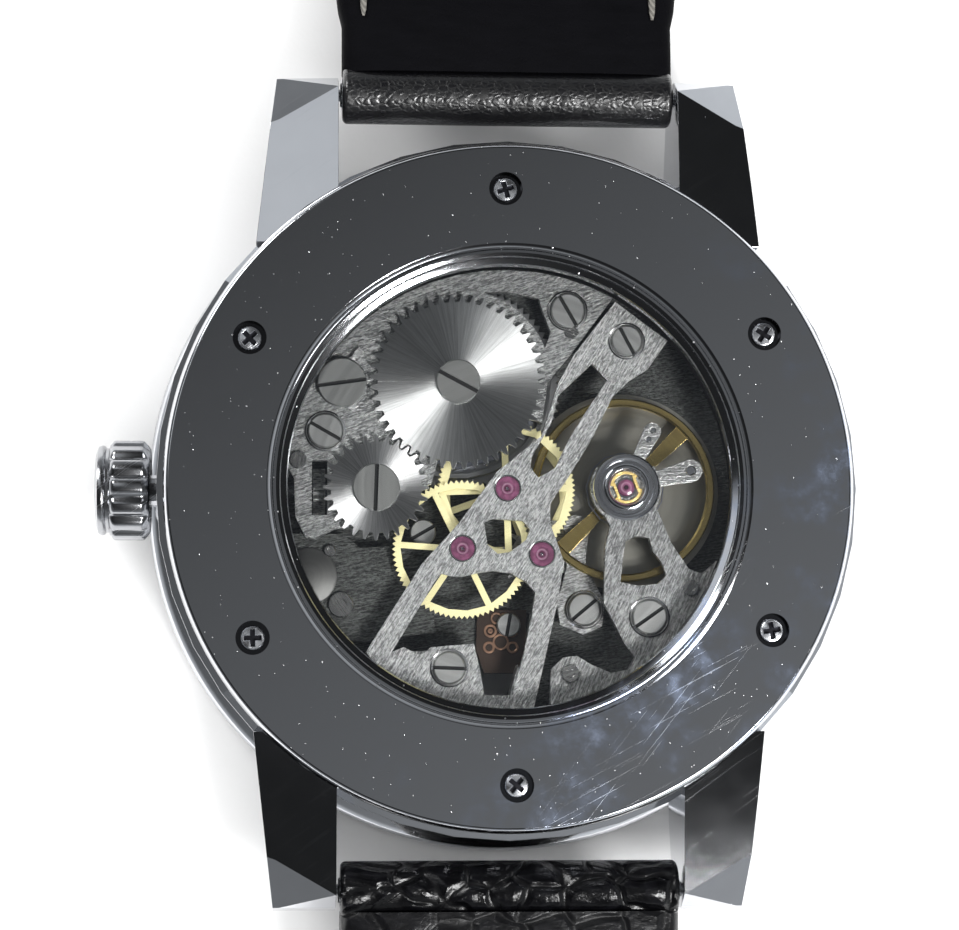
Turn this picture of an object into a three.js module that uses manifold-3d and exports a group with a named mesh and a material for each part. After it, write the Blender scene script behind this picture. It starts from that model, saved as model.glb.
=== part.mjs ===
// Hand-wound skeleton wristwatch, lying dial down with its strap laid open.
// Millimetres. +Z points out of the case back, +Y to 12 o'clock, the crown is on the -X side.
// The origin is on the case axis, in the outer face of the front crystal.
import * as THREE from 'three';
import { mergeVertices } from 'three/addons/utils/BufferGeometryUtils.js';
import Module from 'manifold-3d';

const wasm = await Module();
wasm.setup();

// ---------------------------------------------------------------- driving dimensions
const GAP = 0.04;                 // running and fitting clearance between neighbours
const CASE_R = 20.5;              // middle case
const BEZEL_R = 21.2;
const CASE_BORE_R = 16.0;
const LUG_GAP = 20;               // width between the lugs
const LUG_TIP_Y = 24.5;           // half of the lug-to-lug length
const BACK_Z = 11.2;              // outer face of the case back
const BACK_R = 20.1;
const WINDOW_R = 12.9;            // clear opening of the case back
const BACK_GLASS_R = 13.4;
const SCREW_CIRCLE_R = 17.3;
const SCREW_TURN = 0.9;           // degrees that the case back is turned past upright
const PLATE_R = 13.5;             // 27 mm movement
const STEM_Z = 5.9;
const CROWN_R = 3.0;
const CROWN_X = -20.85;           // inner face of the crown
const CROWN_LENGTH = 3.3;
const BAR_Y = 23.3;               // spring bars
const BAR_Z = 8.5;
const STRAP_WIDTH = 19.6;
const STRAP_12_END = 92;          // how far each strap half reaches from the case axis
const STRAP_6_END = 137;

// Heights inside the movement, from the dial side to the back
const PLATE_Z = [4.3, 6.0];
const CENTRE_WHEEL_Z = [6.13, 6.27];
const BARREL_Z = [6.42, 7.3];
const BARREL_TEETH_Z = [6.42, 6.68];
const ESCAPE_Z = [6.4, 6.52];
const FORK_Z = [6.37, 6.51];
const PALLET_BRIDGE_Z = [6.58, 6.8];
const BALANCE_Z = [6.9, 7.3];
const HAIRSPRING_Z = [7.5, 7.62];
const FOURTH_Z = [7.4, 7.53];
const THIRD_Z = [7.66, 7.8];
const BARREL_BRIDGE_Z = [7.6, 8.25];
const TRAIN_BRIDGE_Z = [8.0, 8.55];
const KEYLESS_WHEEL_Z = [8.29, 8.7];
const COCK_Z = [8.1, 8.75];

// Axes of the movement, seen from the back
const BARREL = [-2.92, 6.25];
const CROWN_WHEEL = [-7.72, 0];
const THIRD = [-2.65, -3.54];
const ESCAPE = [2.01, -3.86];
const PALLET = [4.2, -2.15];
const BALANCE = [6.95, 0.05];
const CENTRE = [0, 0];

// Tooth counts
const TEETH = {
  ratchet: 48, crownWheel: 28, windingPinion: 14,
  barrel: 80, centrePinion: 10, centre: 60, thirdPinion: 10,
  third: 80, fourthPinion: 8, fourth: 84, escapePinion: 7, escape: 15,
  cannon: 12, minute: 36, minutePinion: 10, hour: 40,
};

const finish = {
  steel: [0x8f9396, 0.16, 1.0], brushed: [0xa9abab, 0.38, 1.0], brass: [0xd8b75a, 0.3, 1.0],
  glass: [0xdfe7ea, 0.05, 0.0], ruby: [0x7d1b3c, 0.1, 0.0], black: [0x151517, 0.45, 0.0],
  leather: [0x141416, 0.42, 0.0], rubber: [0x1c1c1c, 0.8, 0.0], blue: [0x24305c, 0.25, 1.0],
};

// ---------------------------------------------------------------- shape helpers
const rad = THREE.MathUtils.degToRad;
const LARGE = 40;                 // facets round the case parts
const MEDIUM = 26;

function arc(centre, radius, from, to, steps) {
  const points = [];
  for (let i = 0; i <= steps; i += 1) {
    const a = rad(from + (to - from) * i / steps);
    points.push([centre[0] + radius * Math.cos(a), centre[1] + radius * Math.sin(a)]);
  }
  return points;
}

function circle(centre, radius, steps) {
  return arc(centre, radius, 0, 360, steps).slice(0, -1);
}

// A flat outline with holes, given thickness between two heights.
function plate(outline, [z0, z1], holes = []) {
  const shape = new THREE.Shape(outline.map(([x, y]) => new THREE.Vector2(x, y)));
  for (const hole of holes) {
    shape.holes.push(new THREE.Path(hole.map(([x, y]) => new THREE.Vector2(x, y))));
  }
  const geometry = new THREE.ExtrudeGeometry(shape, { depth: z1 - z0, bevelEnabled: false });
  geometry.translate(0, 0, z0);
  return welded(geometry);
}

// A flat outline in the plane of the side view (Y, Z), given thickness along X.
function sidePlate(outline, from, to, holes = []) {
  const geometry = plate(outline, [from, to], holes);
  geometry.applyMatrix4(new THREE.Matrix4().set(0, 0, 1, 0, 1, 0, 0, 0, 0, 1, 0, 0, 0, 0, 0, 1));
  return geometry;
}

const disc = (centre, radius, heights, steps = 16) => plate(circle(centre, radius, steps), heights);

function ring(centre, outer, inner, heights, steps = MEDIUM) {
  return plate(circle(centre, outer, steps), heights, [circle(centre, inner, steps)]);
}

// A profile of [radius, height] points turned round the Z axis.
function turned(profile, steps = LARGE, centre = CENTRE) {
  const points = profile.map(([r, z]) => new THREE.Vector2(r, z));
  const geometry = new THREE.LatheGeometry(points, steps);
  geometry.rotateX(Math.PI / 2);
  geometry.translate(centre[0], centre[1], 0);
  return welded(geometry);
}

const turnedRing = (profile, steps = LARGE) => turned([...profile, profile[0]], steps);

// The same as turned, with the profile's heights running along +X from the origin.
function turnedAlongX(profile, steps, x, y, z) {
  const geometry = turned(profile, steps);
  geometry.rotateY(Math.PI / 2);
  geometry.translate(x, y, z);
  return geometry;
}

function box(x0, x1, y0, y1, z0, z1) {
  const geometry = new THREE.BoxGeometry(x1 - x0, y1 - y0, z1 - z0);
  geometry.translate((x0 + x1) / 2, (y0 + y1) / 2, (z0 + z1) / 2);
  return welded(geometry);
}

// Shared vertices, no collapsed triangles, faces pointing out.
function welded(geometry) {
  const bare = geometry.clone();
  bare.deleteAttribute('normal');
  bare.deleteAttribute('uv');
  const merged = mergeVertices(bare, 1e-4);
  const index = merged.getIndex().array;
  const p = merged.getAttribute('position');
  const a = new THREE.Vector3();
  const b = new THREE.Vector3();
  const c = new THREE.Vector3();
  const kept = [];
  let volume = 0;
  for (let i = 0; i < index.length; i += 3) {
    const [u, v, w] = [index[i], index[i + 1], index[i + 2]];
    if (u === v || v === w || u === w) continue;
    kept.push(u, v, w);
    a.fromBufferAttribute(p, u);
    b.fromBufferAttribute(p, v);
    c.fromBufferAttribute(p, w);
    volume += a.dot(b.cross(c));
  }
  if (volume < 0) kept.reverse();
  merged.setIndex(kept);
  return merged;
}

function solid(geometry) {
  return new wasm.Manifold(new wasm.Mesh({
    numProp: 3,
    vertProperties: new Float32Array(geometry.getAttribute('position').array),
    triVerts: new Uint32Array(geometry.getIndex().array),
  }));
}

function geometryOf(manifold) {
  const mesh = manifold.getMesh();
  const geometry = new THREE.BufferGeometry();
  geometry.setAttribute('position', new THREE.BufferAttribute(new Float32Array(mesh.vertProperties), 3));
  geometry.setIndex(Array.from(mesh.triVerts));
  return geometry;
}

const cut = (body, ...tools) => geometryOf(tools.reduce((s, t) => s.subtract(solid(t)), solid(body)));
const join = (body, ...more) => geometryOf(more.reduce((s, t) => s.add(solid(t)), solid(body)));
const common = (body, other) => geometryOf(solid(body).intersect(solid(other)));

// ---------------------------------------------------------------- gears
const distance = (a, b) => Math.hypot(a[0] - b[0], a[1] - b[1]);

// Pitch radius of the gear with `teeth` that meshes with one of `other` teeth at this centre distance.
const pitchRadius = (teeth, other, apart) => apart * teeth / (teeth + other);

// Tooth phase, in turns of radians, that lets gear b mesh with gear a.
function meshPhase(a, b) {
  const line = Math.atan2(b.at[1] - a.at[1], b.at[0] - a.at[0]);
  const past = (line - a.phase) / (2 * Math.PI / a.teeth);
  const pitch = 2 * Math.PI / b.teeth;
  return line + Math.PI - pitch * (0.5 - (past - Math.floor(past)));
}

function gear(at, teeth, radius, phase = 0) {
  return { at, teeth, radius, phase };
}

function meshed(driver, at, teeth, radius) {
  const g = gear(at, teeth, radius);
  g.phase = meshPhase(driver, g);
  return g;
}

// Straight-flanked teeth, thinner than their gaps so that they run free. Each corner of a tooth is
// [height above the pitch circle in modules, place along the pitch].
const BROAD_TOOTH = [[-1.15, -0.3], [0.9, -0.09], [0.9, 0.09], [-1.15, 0.3]];
const FINE_TOOTH = [[-1.25, -0.5], [0.75, 0]];

function toothOutline({ at, teeth, radius, phase }, tooth = BROAD_TOOTH) {
  const size = 2 * radius / teeth;
  const pitch = 2 * Math.PI / teeth;
  const points = [];
  for (let i = 0; i < teeth; i += 1) {
    for (const [height, turn] of tooth) {
      const r = radius + height * size;
      const a = phase + (i + turn) * pitch;
      points.push([at[0] + r * Math.cos(a), at[1] + r * Math.sin(a)]);
    }
  }
  return points;
}

// The openings between the spokes of a wheel.
function spokeWindows(at, count, hub, rim, width, turn, steps = 3) {
  const windows = [];
  for (let i = 0; i < count; i += 1) {
    const from = turn + 360 * i / count;
    const to = from + 360 / count;
    const inner = THREE.MathUtils.radToDeg(Math.asin(width / 2 / hub));
    const outer = THREE.MathUtils.radToDeg(Math.asin(width / 2 / rim));
    windows.push([
      ...arc(at, rim, from + outer, to - outer, steps),
      ...arc(at, hub, to - inner, from + inner, 2),
    ]);
  }
  return windows;
}

// ---------------------------------------------------------------- the scene graph
const watch = new THREE.Group();

function node(name, geometry, look) {
  const [color, roughness, metalness] = finish[look];
  const mesh = new THREE.Mesh(geometry, new THREE.MeshStandardMaterial({ color, roughness, metalness }));
  mesh.name = name;
  mesh.geometry.computeVertexNormals();
  watch.add(mesh);
}

// ---------------------------------------------------------------- case
const along12and6 = [1, -1];
const leftAndRight = [1, -1];

function lug(sideX, sideY) {
  const profile = [
    [14.2, 3.5], [19.5, 3.7], [22.8, 4.9], [24.1, 6.1], [LUG_TIP_Y, 7.2], [24.3, 8.7],
    [23.5, 9.75], [21.5, 10.3], [18.0, 10.6], [14.2, 10.6],
  ];
  const inner = LUG_GAP / 2;
  const geometry = sidePlate(profile, inner, inner + 4.9);
  const outerSide = box(0, 4, -8, 14, -8, 8);
  outerSide.rotateZ(rad(6.5));
  outerSide.translate(inner + 4.75, 14.5, 7);
  const facetNormal = new THREE.Vector3(0.152, 0.499, 0.853).normalize();
  const endFacet = box(-12, 12, -12, 12, 0, 6);
  endFacet.applyQuaternion(new THREE.Quaternion().setFromUnitVectors(new THREE.Vector3(0, 0, 1), facetNormal));
  endFacet.translate(inner, 23.5, 9.75);
  const shaped = cut(geometry, outerSide, endFacet);
  shaped.scale(sideX, sideY, 1);
  return welded(shaped);
}

function barAlongX(radius, from, to, y, z, steps = 16) {
  return turnedAlongX([[0, 0], [radius, 0], [radius, to - from], [0, to - from]], steps, from, y, z);
}

const screwPlaces = [0, 1, 2, 3, 4, 5].map((i) => {
  const a = rad(90 + SCREW_TURN + 60 * i);
  return [SCREW_CIRCLE_R * Math.cos(a), SCREW_CIRCLE_R * Math.sin(a)];
});

const bandTop = 9.65;
let middle = turnedRing([
  [CASE_BORE_R, 3.9], [17.1, 3.9], [17.1, 3.25], [20.0, 3.25], [CASE_R, 3.6], [CASE_R, 9.3],
  [20.0, bandTop], [16.5, bandTop], [CASE_BORE_R, 9.2],
]);
middle = join(middle, ...leftAndRight.flatMap((sx) => along12and6.map((sy) => lug(sx, sy))));
// the case back sits in a shallow seat over the lugs
middle = cut(middle, disc(CENTRE, BACK_R + GAP, [bandTop, 12], LARGE));
middle = cut(middle, barAlongX(1.0, -22, -15, 0, STEM_Z));
middle = cut(middle, ...screwPlaces.map((at) => disc(at, 0.5, [7.4, 9.8], 8)));
middle = cut(middle, ...along12and6.map((s) => barAlongX(0.45, -10.75, 10.75, s * BAR_Y, BAR_Z, 12)));
node('mid_case', middle, 'steel');

node('case_tube', turnedAlongX([[0.62, 0], [0.95, 0], [0.95, 6.4], [0.62, 6.4], [0.62, 0]], 16, -22.5, 0,
  STEM_Z), 'steel');

node('bezel', turnedRing([
  [16.9, 3.2], [16.9, 1.65], [18.0, 1.65], [18.0, 0.4], [19.6, 0.4], [BEZEL_R, 1.4],
  [BEZEL_R, 2.5], [20.2, 3.2],
]), 'steel');
node('crystal', turned([[0, 0], [17.2, 0], [17.55, 0.3], [17.55, 1.6], [0, 1.6]]), 'glass');
node('crystal_gasket', ring(CENTRE, 17.95, 17.62, [0.6, 1.6], LARGE), 'rubber');

const backRing = turnedRing([
  [WINDOW_R, 9.3], [15.9, 9.3], [15.9, 9.7], [BACK_R, 9.7], [BACK_R, 10.75], [19.75, BACK_Z],
  [13.85, BACK_Z], [13.45, 10.85], [13.45, 9.85], [WINDOW_R, 9.85],
]);
node('case_back', cut(backRing,
  ...screwPlaces.map((at) => disc(at, 0.5, [9.5, 10.8], 8)),
  ...screwPlaces.map((at) => disc(at, 1.08, [10.5, 12], 12))), 'steel');
node('back_glass', turned([[0, 9.88], [BACK_GLASS_R, 9.88], [BACK_GLASS_R, 10.8], [0, 10.8]]), 'glass');
node('back_gasket', turnedRing([[15.95, 9.3], [16.42, 9.66], [15.95, 9.66]]), 'rubber');

function crossScrew(at, index) {
  const body = turned([
    [0, 8.0], [0.42, 8.0], [0.42, 10.53], [0.8, 10.53], [0.8, 10.9], [0.62, 11.02], [0, 11.02],
  ], 16, at);
  const arm = 0.5;
  const half = 0.1;
  const slot = (x, y) => box(at[0] - x, at[0] + x, at[1] - y, at[1] + y, 10.75, 11.2);
  node(`back_screw_${index}`, cut(body, slot(arm, half), slot(half, arm)), 'steel');
}
screwPlaces.forEach((at, i) => crossScrew(at, i + 1));

// ---------------------------------------------------------------- crown and stem
function crown() {
  const flutes = 14;
  const outline = [];
  for (let i = 0; i < flutes; i += 1) {
    const a = 360 * i / flutes;
    outline.push(...arc(CENTRE, CROWN_R, a - 7.5, a + 7.5, 1));
    outline.push(...arc(CENTRE, CROWN_R - 0.38, a + 11, a + 14.7, 1));
  }
  const fluted = plate(outline, [0.55, CROWN_LENGTH]);
  const collar = disc(CENTRE, CROWN_R - 0.3, [0, 0.6], 24);
  const body = join(fluted, collar);
  // the hollow that takes the case tube and the gasket
  const hollow = disc(CENTRE, 1.5, [CROWN_LENGTH - 1.9, CROWN_LENGTH + 1], 20);
  const stemHole = disc(CENTRE, 0.45, [CROWN_LENGTH - 2.3, CROWN_LENGTH], 16);
  const geometry = cut(body, hollow, stemHole);
  geometry.rotateY(Math.PI / 2);
  geometry.translate(CROWN_X - CROWN_LENGTH, 0, STEM_Z);
  return geometry;
}
node('crown', crown(), 'steel');
node('crown_gasket', turnedAlongX([[1.02, 0], [1.44, 0], [1.44, 0.6], [1.02, 0.6], [1.02, 0]], 20, -21.7, 0,
  STEM_Z), 'rubber');
node('winding_stem', turnedAlongX([
  [0, 0], [0.4, 0], [0.4, 1.6], [0.55, 1.6], [0.55, 13.9], [0.3, 13.9], [0.3, 14.6], [0, 14.6],
], 16, -23.0, 0, STEM_Z), 'steel');

const windingPinionGear = gear(CENTRE, TEETH.windingPinion, 1.2, 0);
function onStem(outline, from, to, bore) {
  const geometry = plate(outline, [0, to - from], [circle(CENTRE, bore, 16)]);
  geometry.rotateY(Math.PI / 2);
  geometry.translate(from, 0, STEM_Z);
  return geometry;
}
node('winding_pinion', onStem(toothOutline(windingPinionGear), -11.35, -10.65, 0.6), 'steel');
node('clutch_wheel', onStem(toothOutline(gear(CENTRE, TEETH.windingPinion, 1.0, 0.1)), -10.5, -9.1, 0.6),
  'steel');

// ---------------------------------------------------------------- movement frame
node('movement_ring', cut(ring(CENTRE, 15.9, 13.6, [4.0, 9.2], LARGE), barAlongX(0.75, -17, -12, 0, STEM_Z)),
  'black');

node('dial_ring', ring(CENTRE, 16.95, 12.4, [3.3, 3.7], LARGE), 'blue');

const lowerWindow = [[-1.5, -12.1], [0.2, -12.1], [1.0, -9.8], [1.5, -7.2], [-1.6, -7.2], [-1.7, -10.8]];
function mainPlate() {
  const holes = [
    circle(CENTRE, 1.25, 16),
    ...spokeWindows(BALANCE, 3, 1.2, 4.9, 1.6, 15),
    ...spokeWindows(BARREL, 3, 1.3, 5.2, 1.2, 40),
    lowerWindow,
  ];
  const base = plate(circle(CENTRE, PLATE_R, LARGE), PLATE_Z, holes);
  const land = plate([
    [-12.9, -2.6], ...arc(CENTRE, 13.3, 195, 222, 4), [-8.3, -8.9], [-4.2, -8.4], [-4.4, -3.2],
    [-8.6, -3.4], [-9.6, -2.6]], [5.9, 7.0]);
  const room = [disc(CENTRE, 4.15, [6.03, 8], MEDIUM), disc(BARREL, 6.5, [6.03, 8], MEDIUM),
    disc(THIRD, 1.0, [6.03, 8], 16)];
  const raised = join(base, cut(land, ...room));
  // slot for the stem, the winding pinion and the clutch, open to the back
  return cut(raised, box(-14, -8.2, -1.6, 1.6, 4.5, 7.2));
}
node('main_plate', mainPlate(), 'brushed');

const slotted = (at, r, z0, z1, shank, bottom, turn, steps = 16) => {
  const body = turned([[0, bottom], [shank, bottom], [shank, z0], [r, z0], [r, z1], [0, z1]], steps, at);
  const groove = box(-r * 1.2, r * 1.2, -r * 0.09, r * 0.09, z1 - 0.14, z1 + 1);
  groove.rotateZ(rad(turn));
  groove.translate(at[0], at[1], 0);
  return cut(body, groove);
};

function barrelBridge() {
  const outline = [
    ...arc(CENTRE, 13.0, 61, 174, 16), [-12.5, 0.6], [-12.4, -1.7], [-11.8, -2.9], [-11.2, -3.0],
    [-10.1, -2.4], [-6.3, -2.2], [-4.6, -0.9], ...arc(CENTRE, 4.4, 172, 62, 8), [2.4, 6.3], [3.8, 8.0],
  ];
  const arborHole = circle(BARREL, 1.1, 16);
  const crownHole = circle(CROWN_WHEEL, 0.7, 16);
  const pinionWindow = [[-11.45, -1.6], [-10.55, -1.6], [-10.55, 1.6], [-11.45, 1.6]];
  const sideOpening = [...arc(BARREL, 5.6, 74, 22, 6), [2.6, 9.3], [2.1, 10.6], [1.9, 11.3], [0.0, 11.7]];
  const top = plate(outline, BARREL_BRIDGE_Z, [arborHole, crownHole, pinionWindow, sideOpening]);
  const foot = (at) => disc(at, 1.0, [PLATE_Z[1] + 0.03, 7.65], 16);
  const overThird = disc(THIRD, 4.25, [7, 9], MEDIUM);
  return join(cut(top, overThird), foot([3.6, 10.6]), foot([-11.2, 3.6]), foot([-10.6, 5.9]));
}
node('barrel_bridge', barrelBridge(), 'brushed');

const lowerFoot = [
  [-7.8, -9.6], ...arc(CENTRE, 13.0, 236, 276.5, 6), [0.6, -10.3], [0.1, -12.2], [-1.5, -12.2],
  [-1.7, -10.9], [-2.1, -9.2], [-5.0, -9.5], [-6.9, -9.6]];
const bridgeSlot = [[5.0, 7.4], [3.0, 5.5], [2.6, 3.9], [1.4, 1.8], [1.35, 1.2], [1.8, 0.65], [2.8, 1.2],
  [3.6, 2.9], [4.6, 4.5], [5.9, 6.4]];
const bridgeHole = [[-1.4, -2.0], [-0.9, -1.8], [0.9, -1.9], [1.3, -2.4], [1.1, -3.0], [0.1, -3.75],
  [-0.6, -3.85], [-1.2, -3.3]];
function trainBridge() {
  const outline = [
    [6.4, 11.1], [4.0, 8.0], [3.0, 6.2], [2.0, 3.1], [-0.6, 1.0], [-3.0, -2.2], [-5.0, -4.4], [-8.3, -9.6],
    ...arc(CENTRE, 13.0, 236, 276.5, 7), [2.3, -9.2], [2.9, -6.7], [3.3, -4.3], [2.5, -2.1], [2.5, -0.9],
    [3.6, 0.7], [5.0, 3.0], [6.2, 5.4], [7.2, 6.4], [8.3, 7.1], [9.5, 8.8],
  ];
  const arch = [[-3.9, -5.0], [-3.3, -5.15], [-2.7, -5.2], [-1.9, -5.0], [-0.9, -4.85], [0.2, -5.0],
    [1.0, -5.45], [1.6, -6.1], [1.4, -7.4], [0.9, -9.7], [0.2, -12.1], [-1.4, -12.1], [-1.6, -10.9],
    [-2.0, -9.1], [-4.5, -9.3], [-5.1, -9.8], [-6.1, -9.3], [-6.8, -9.6], [-5.0, -6.7], [-4.3, -5.5]];
  const jewelSeats = [CENTRE, THIRD, ESCAPE].map((at) => circle(at, 0.76, 16));
  const top = plate(outline, TRAIN_BRIDGE_Z, [bridgeSlot, bridgeHole, arch, ...jewelSeats]);
  const footZ = [PLATE_Z[1] + 0.03, TRAIN_BRIDGE_Z[0] + 0.1];
  return join(cut(top, disc(BARREL, 5.35, [7.9, 9], MEDIUM)), disc([7.2, 9.0], 1.25, footZ),
    plate(lowerFoot, footZ));
}
node('train_bridge', trainBridge(), 'brushed');

[['jewel_centre', CENTRE], ['jewel_third', THIRD], ['jewel_escape', ESCAPE]].forEach(([name, at]) => {
  node(name, ring(at, 0.72, 0.16, [8.05, 8.5], 16), 'ruby');
});

function balanceCock() {
  const outline = [
    ...arc(BALANCE, 2.1, -215, 38, 16),
    ...arc(BALANCE, 1.35, 38, 145, 6),
  ];
  const body = [
    [5.3, -1.0], [6.0, -2.2], [5.7, -3.4], [5.6, -6.7], [6.8, -9.1], [7.4, -9.9], [7.0, -10.6], [6.0, -10.8],
    [4.8, -10.3], [4.0, -9.8], [3.2, -9.9], [2.5, -10.6], [2.4, -12.6], ...arc(CENTRE, 13.0, -77, -19, 8),
    [11.4, -5.0], [10.6, -4.7], [9.6, -3.2], [9.0, -1.7], [8.5, -0.7],
  ];
  const bell = [[7.5, -2.8], [6.9, -3.1], [6.7, -4.4], [6.6, -5.5], [7.6, -5.7], [8.8, -5.6], [9.3, -5.1],
    [9.0, -4.3], [8.5, -3.7], [8.3, -2.9]];
  const arm = plate(body, COCK_Z, [bell]);
  const cap = plate(outline, COCK_Z);
  const foot = plate([[6.5, -8.4], [7.6, -9.7], [9.2, -9.0], [11.0, -6.8], [11.2, -5.9], [9.4, -6.2],
    [7.2, -7.2]], [PLATE_Z[1] + 0.03, COCK_Z[0] + 0.1]);
  const tabFoot = disc([3.7, -11.2], 1.0, [PLATE_Z[1] + 0.03, COCK_Z[0] + 0.1], 16);
  return cut(join(arm, cap, foot, tabFoot), disc(BALANCE, 0.62, [7.9, 9]));
}
node('balance_cock', balanceCock(), 'brushed');
node('balance_shock_jewel', ring(BALANCE, 0.56, 0.14, [8.12, 8.7], 16), 'ruby');

function regulator() {
  const arm = [...circle(BALANCE, 1.9, 24)];
  const bar = [[8.4, -0.35], [11.2, -0.1], [11.6, 0.5], [11.0, 1.3], [8.4, 1.3]];
  const stud = [[7.3, 1.2], [8.0, 3.6], [8.8, 4.1], [9.2, 3.3], [8.4, 1.1]];
  const z = [COCK_Z[1] + GAP, COCK_Z[1] + 0.3];
  return cut(join(plate(arm, z), plate(bar, z), plate(stud, z)), disc(BALANCE, 1.25, [8.6, 9.3], 24));
}
node('regulator', regulator(), 'brushed');

function palletBridge() {
  const outline = [[3.0, -6.6], [3.6, -4.6], [3.55, -2.4], ...arc(PALLET, 0.75, 190, 0, 8), [4.75, -4.4],
    [5.9, -6.6], [5.7, -8.0], [4.6, -8.5], [3.2, -7.9]].reverse();
  const arm = plate(outline, PALLET_BRIDGE_Z, [circle(PALLET, 0.14, 12)]);
  return join(arm, disc([4.64, -7.2], 1.0, [PLATE_Z[1] + 0.03, 6.6], 16));
}
node('pallet_bridge', palletBridge(), 'brushed');

// ---------------------------------------------------------------- winding works
const apart = distance(BARREL, CROWN_WHEEL);
const crownGear = gear(CROWN_WHEEL, TEETH.crownWheel, pitchRadius(TEETH.crownWheel, TEETH.ratchet, apart), 0);
const ratchetGear = meshed(crownGear, BARREL, TEETH.ratchet,
  pitchRadius(TEETH.ratchet, TEETH.crownWheel, apart));
node('crown_wheel', plate(toothOutline(crownGear), KEYLESS_WHEEL_Z, [circle(CROWN_WHEEL, 0.6, 16)]),
  'brushed');
node('ratchet_wheel', plate(toothOutline(ratchetGear), KEYLESS_WHEEL_Z, [circle(BARREL, 0.85, 16)]),
  'brushed');
node('crown_wheel_screw', slotted(CROWN_WHEEL, 1.4, 8.74, 8.95, 0.56, 7.7, 88), 'steel');
node('ratchet_screw', slotted(BARREL, 1.32, 8.74, 8.92, 0.3, 8.3, -28), 'steel');
node('barrel_arbor', turned([
  [0, 6.1], [0.45, 6.1], [0.45, 6.72], [1.0, 6.72], [1.0, 7.5], [0.8, 7.55], [0.8, 8.65], [0.34, 8.65],
  [0.34, 8.25], [0, 8.25],
], 16, BARREL), 'steel');

function barrel() {
  const barrelPitch = pitchRadius(TEETH.barrel, TEETH.centrePinion, distance(BARREL, CENTRE));
  const g = gear(BARREL, TEETH.barrel, barrelPitch, 0);
  const floor = plate(toothOutline(g, FINE_TOOTH), BARREL_TEETH_Z, [circle(BARREL, 0.55, 16)]);
  const wall = ring(BARREL, 5.6, 5.3, [BARREL_TEETH_Z[1] - 0.05, BARREL_Z[1]]);
  return { g, geometry: join(floor, wall) };
}
const barrelPart = barrel();
node('barrel', barrelPart.geometry, 'brushed');

function spiral(at, from, to, turns, thickness, heights, start, steps) {
  const inside = [];
  const outside = [];
  for (let i = 0; i <= steps; i += 1) {
    const a = rad(start) + turns * 2 * Math.PI * i / steps;
    const r = from + (to - from) * i / steps;
    inside.push([at[0] + r * Math.cos(a), at[1] + r * Math.sin(a)]);
    outside.push([at[0] + (r + thickness) * Math.cos(a), at[1] + (r + thickness) * Math.sin(a)]);
  }
  return plate([...outside, ...inside.reverse()], heights);
}
node('mainspring', spiral(BARREL, 1.1, 4.9, 5, 0.3, [6.72, 7.25], 0, 60), 'steel');

const clickPivot = [-9.73, 6.16];
node('click', plate([...arc(clickPivot, 1.1, 60, 250, 8), [-9.2, 4.55], [-8.75, 4.75], [-8.85, 5.4],
  [-8.66, 6.4], [-8.9, 7.6], [-8.35, 8.0], [-8.75, 8.35], [-9.3, 7.6]], [8.29, 8.5],
  [circle(clickPivot, 0.5, 12)]), 'steel');
node('click_screw', slotted(clickPivot, 1.45, 8.54, 8.8, 0.42, 8.28, 8), 'steel');

// ---------------------------------------------------------------- going train
const centrePinion = meshed(barrelPart.g, CENTRE, TEETH.centrePinion,
  pitchRadius(TEETH.centrePinion, TEETH.barrel, distance(BARREL, CENTRE)));
const toThird = distance(CENTRE, THIRD);
const centreGear = gear(CENTRE, TEETH.centre, pitchRadius(TEETH.centre, TEETH.thirdPinion, toThird), 0);
const thirdPinion = meshed(centreGear, THIRD, TEETH.thirdPinion,
  pitchRadius(TEETH.thirdPinion, TEETH.centre, toThird));
const thirdGear = gear(THIRD, TEETH.third, pitchRadius(TEETH.third, TEETH.fourthPinion, toThird), 0);
const fourthPinion = meshed(thirdGear, CENTRE, TEETH.fourthPinion,
  pitchRadius(TEETH.fourthPinion, TEETH.third, toThird));
const toEscape = distance(CENTRE, ESCAPE);
const fourthGear = gear(CENTRE, TEETH.fourth, pitchRadius(TEETH.fourth, TEETH.escapePinion, toEscape), 0);
const escapePinion = meshed(fourthGear, ESCAPE, TEETH.escapePinion,
  pitchRadius(TEETH.escapePinion, TEETH.fourth, toEscape));

// The centre arbor is hollow: the seconds arbor runs through it.
function centreWheel() {
  const bore = circle(CENTRE, 0.3, 16);
  const wheel = plate(toothOutline(centreGear, FINE_TOOTH), CENTRE_WHEEL_Z,
    [bore, ...spokeWindows(CENTRE, 4, 0.95, 3.35, 0.4, 20)]);
  const pinion = plate(toothOutline(centrePinion), [6.2, 7.0], [bore]);
  const tube = ring(CENTRE, 0.5, 0.3, [3.4, 6.2], 16);
  return join(wheel, pinion, tube);
}
node('centre_wheel', centreWheel(), 'brass');

function thirdWheel() {
  const windows = spokeWindows(THIRD, 6, 0.75, 3.6, 0.36, 176);
  const wheel = plate(toothOutline(thirdGear, FINE_TOOTH), THIRD_Z, windows);
  return join(wheel, plate(toothOutline(thirdPinion), [6.1, 6.6]), disc(THIRD, 0.3, [6.04, 7.9], 12),
    disc(THIRD, 0.1, [7.8, 8.4], 8));
}
node('third_wheel', thirdWheel(), 'brass');

function fourthWheel() {
  const windows = spokeWindows(CENTRE, 4, 0.7, 3.55, 0.4, 2);
  const wheel = plate(toothOutline(fourthGear, FINE_TOOTH), FOURTH_Z, windows);
  return join(wheel, plate(toothOutline(fourthPinion), [7.45, 7.92]), disc(CENTRE, 0.22, [1.95, 7.5], 12),
    disc(CENTRE, 0.1, [7.8, 8.4], 8));
}
node('fourth_wheel', fourthWheel(), 'brass');

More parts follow.
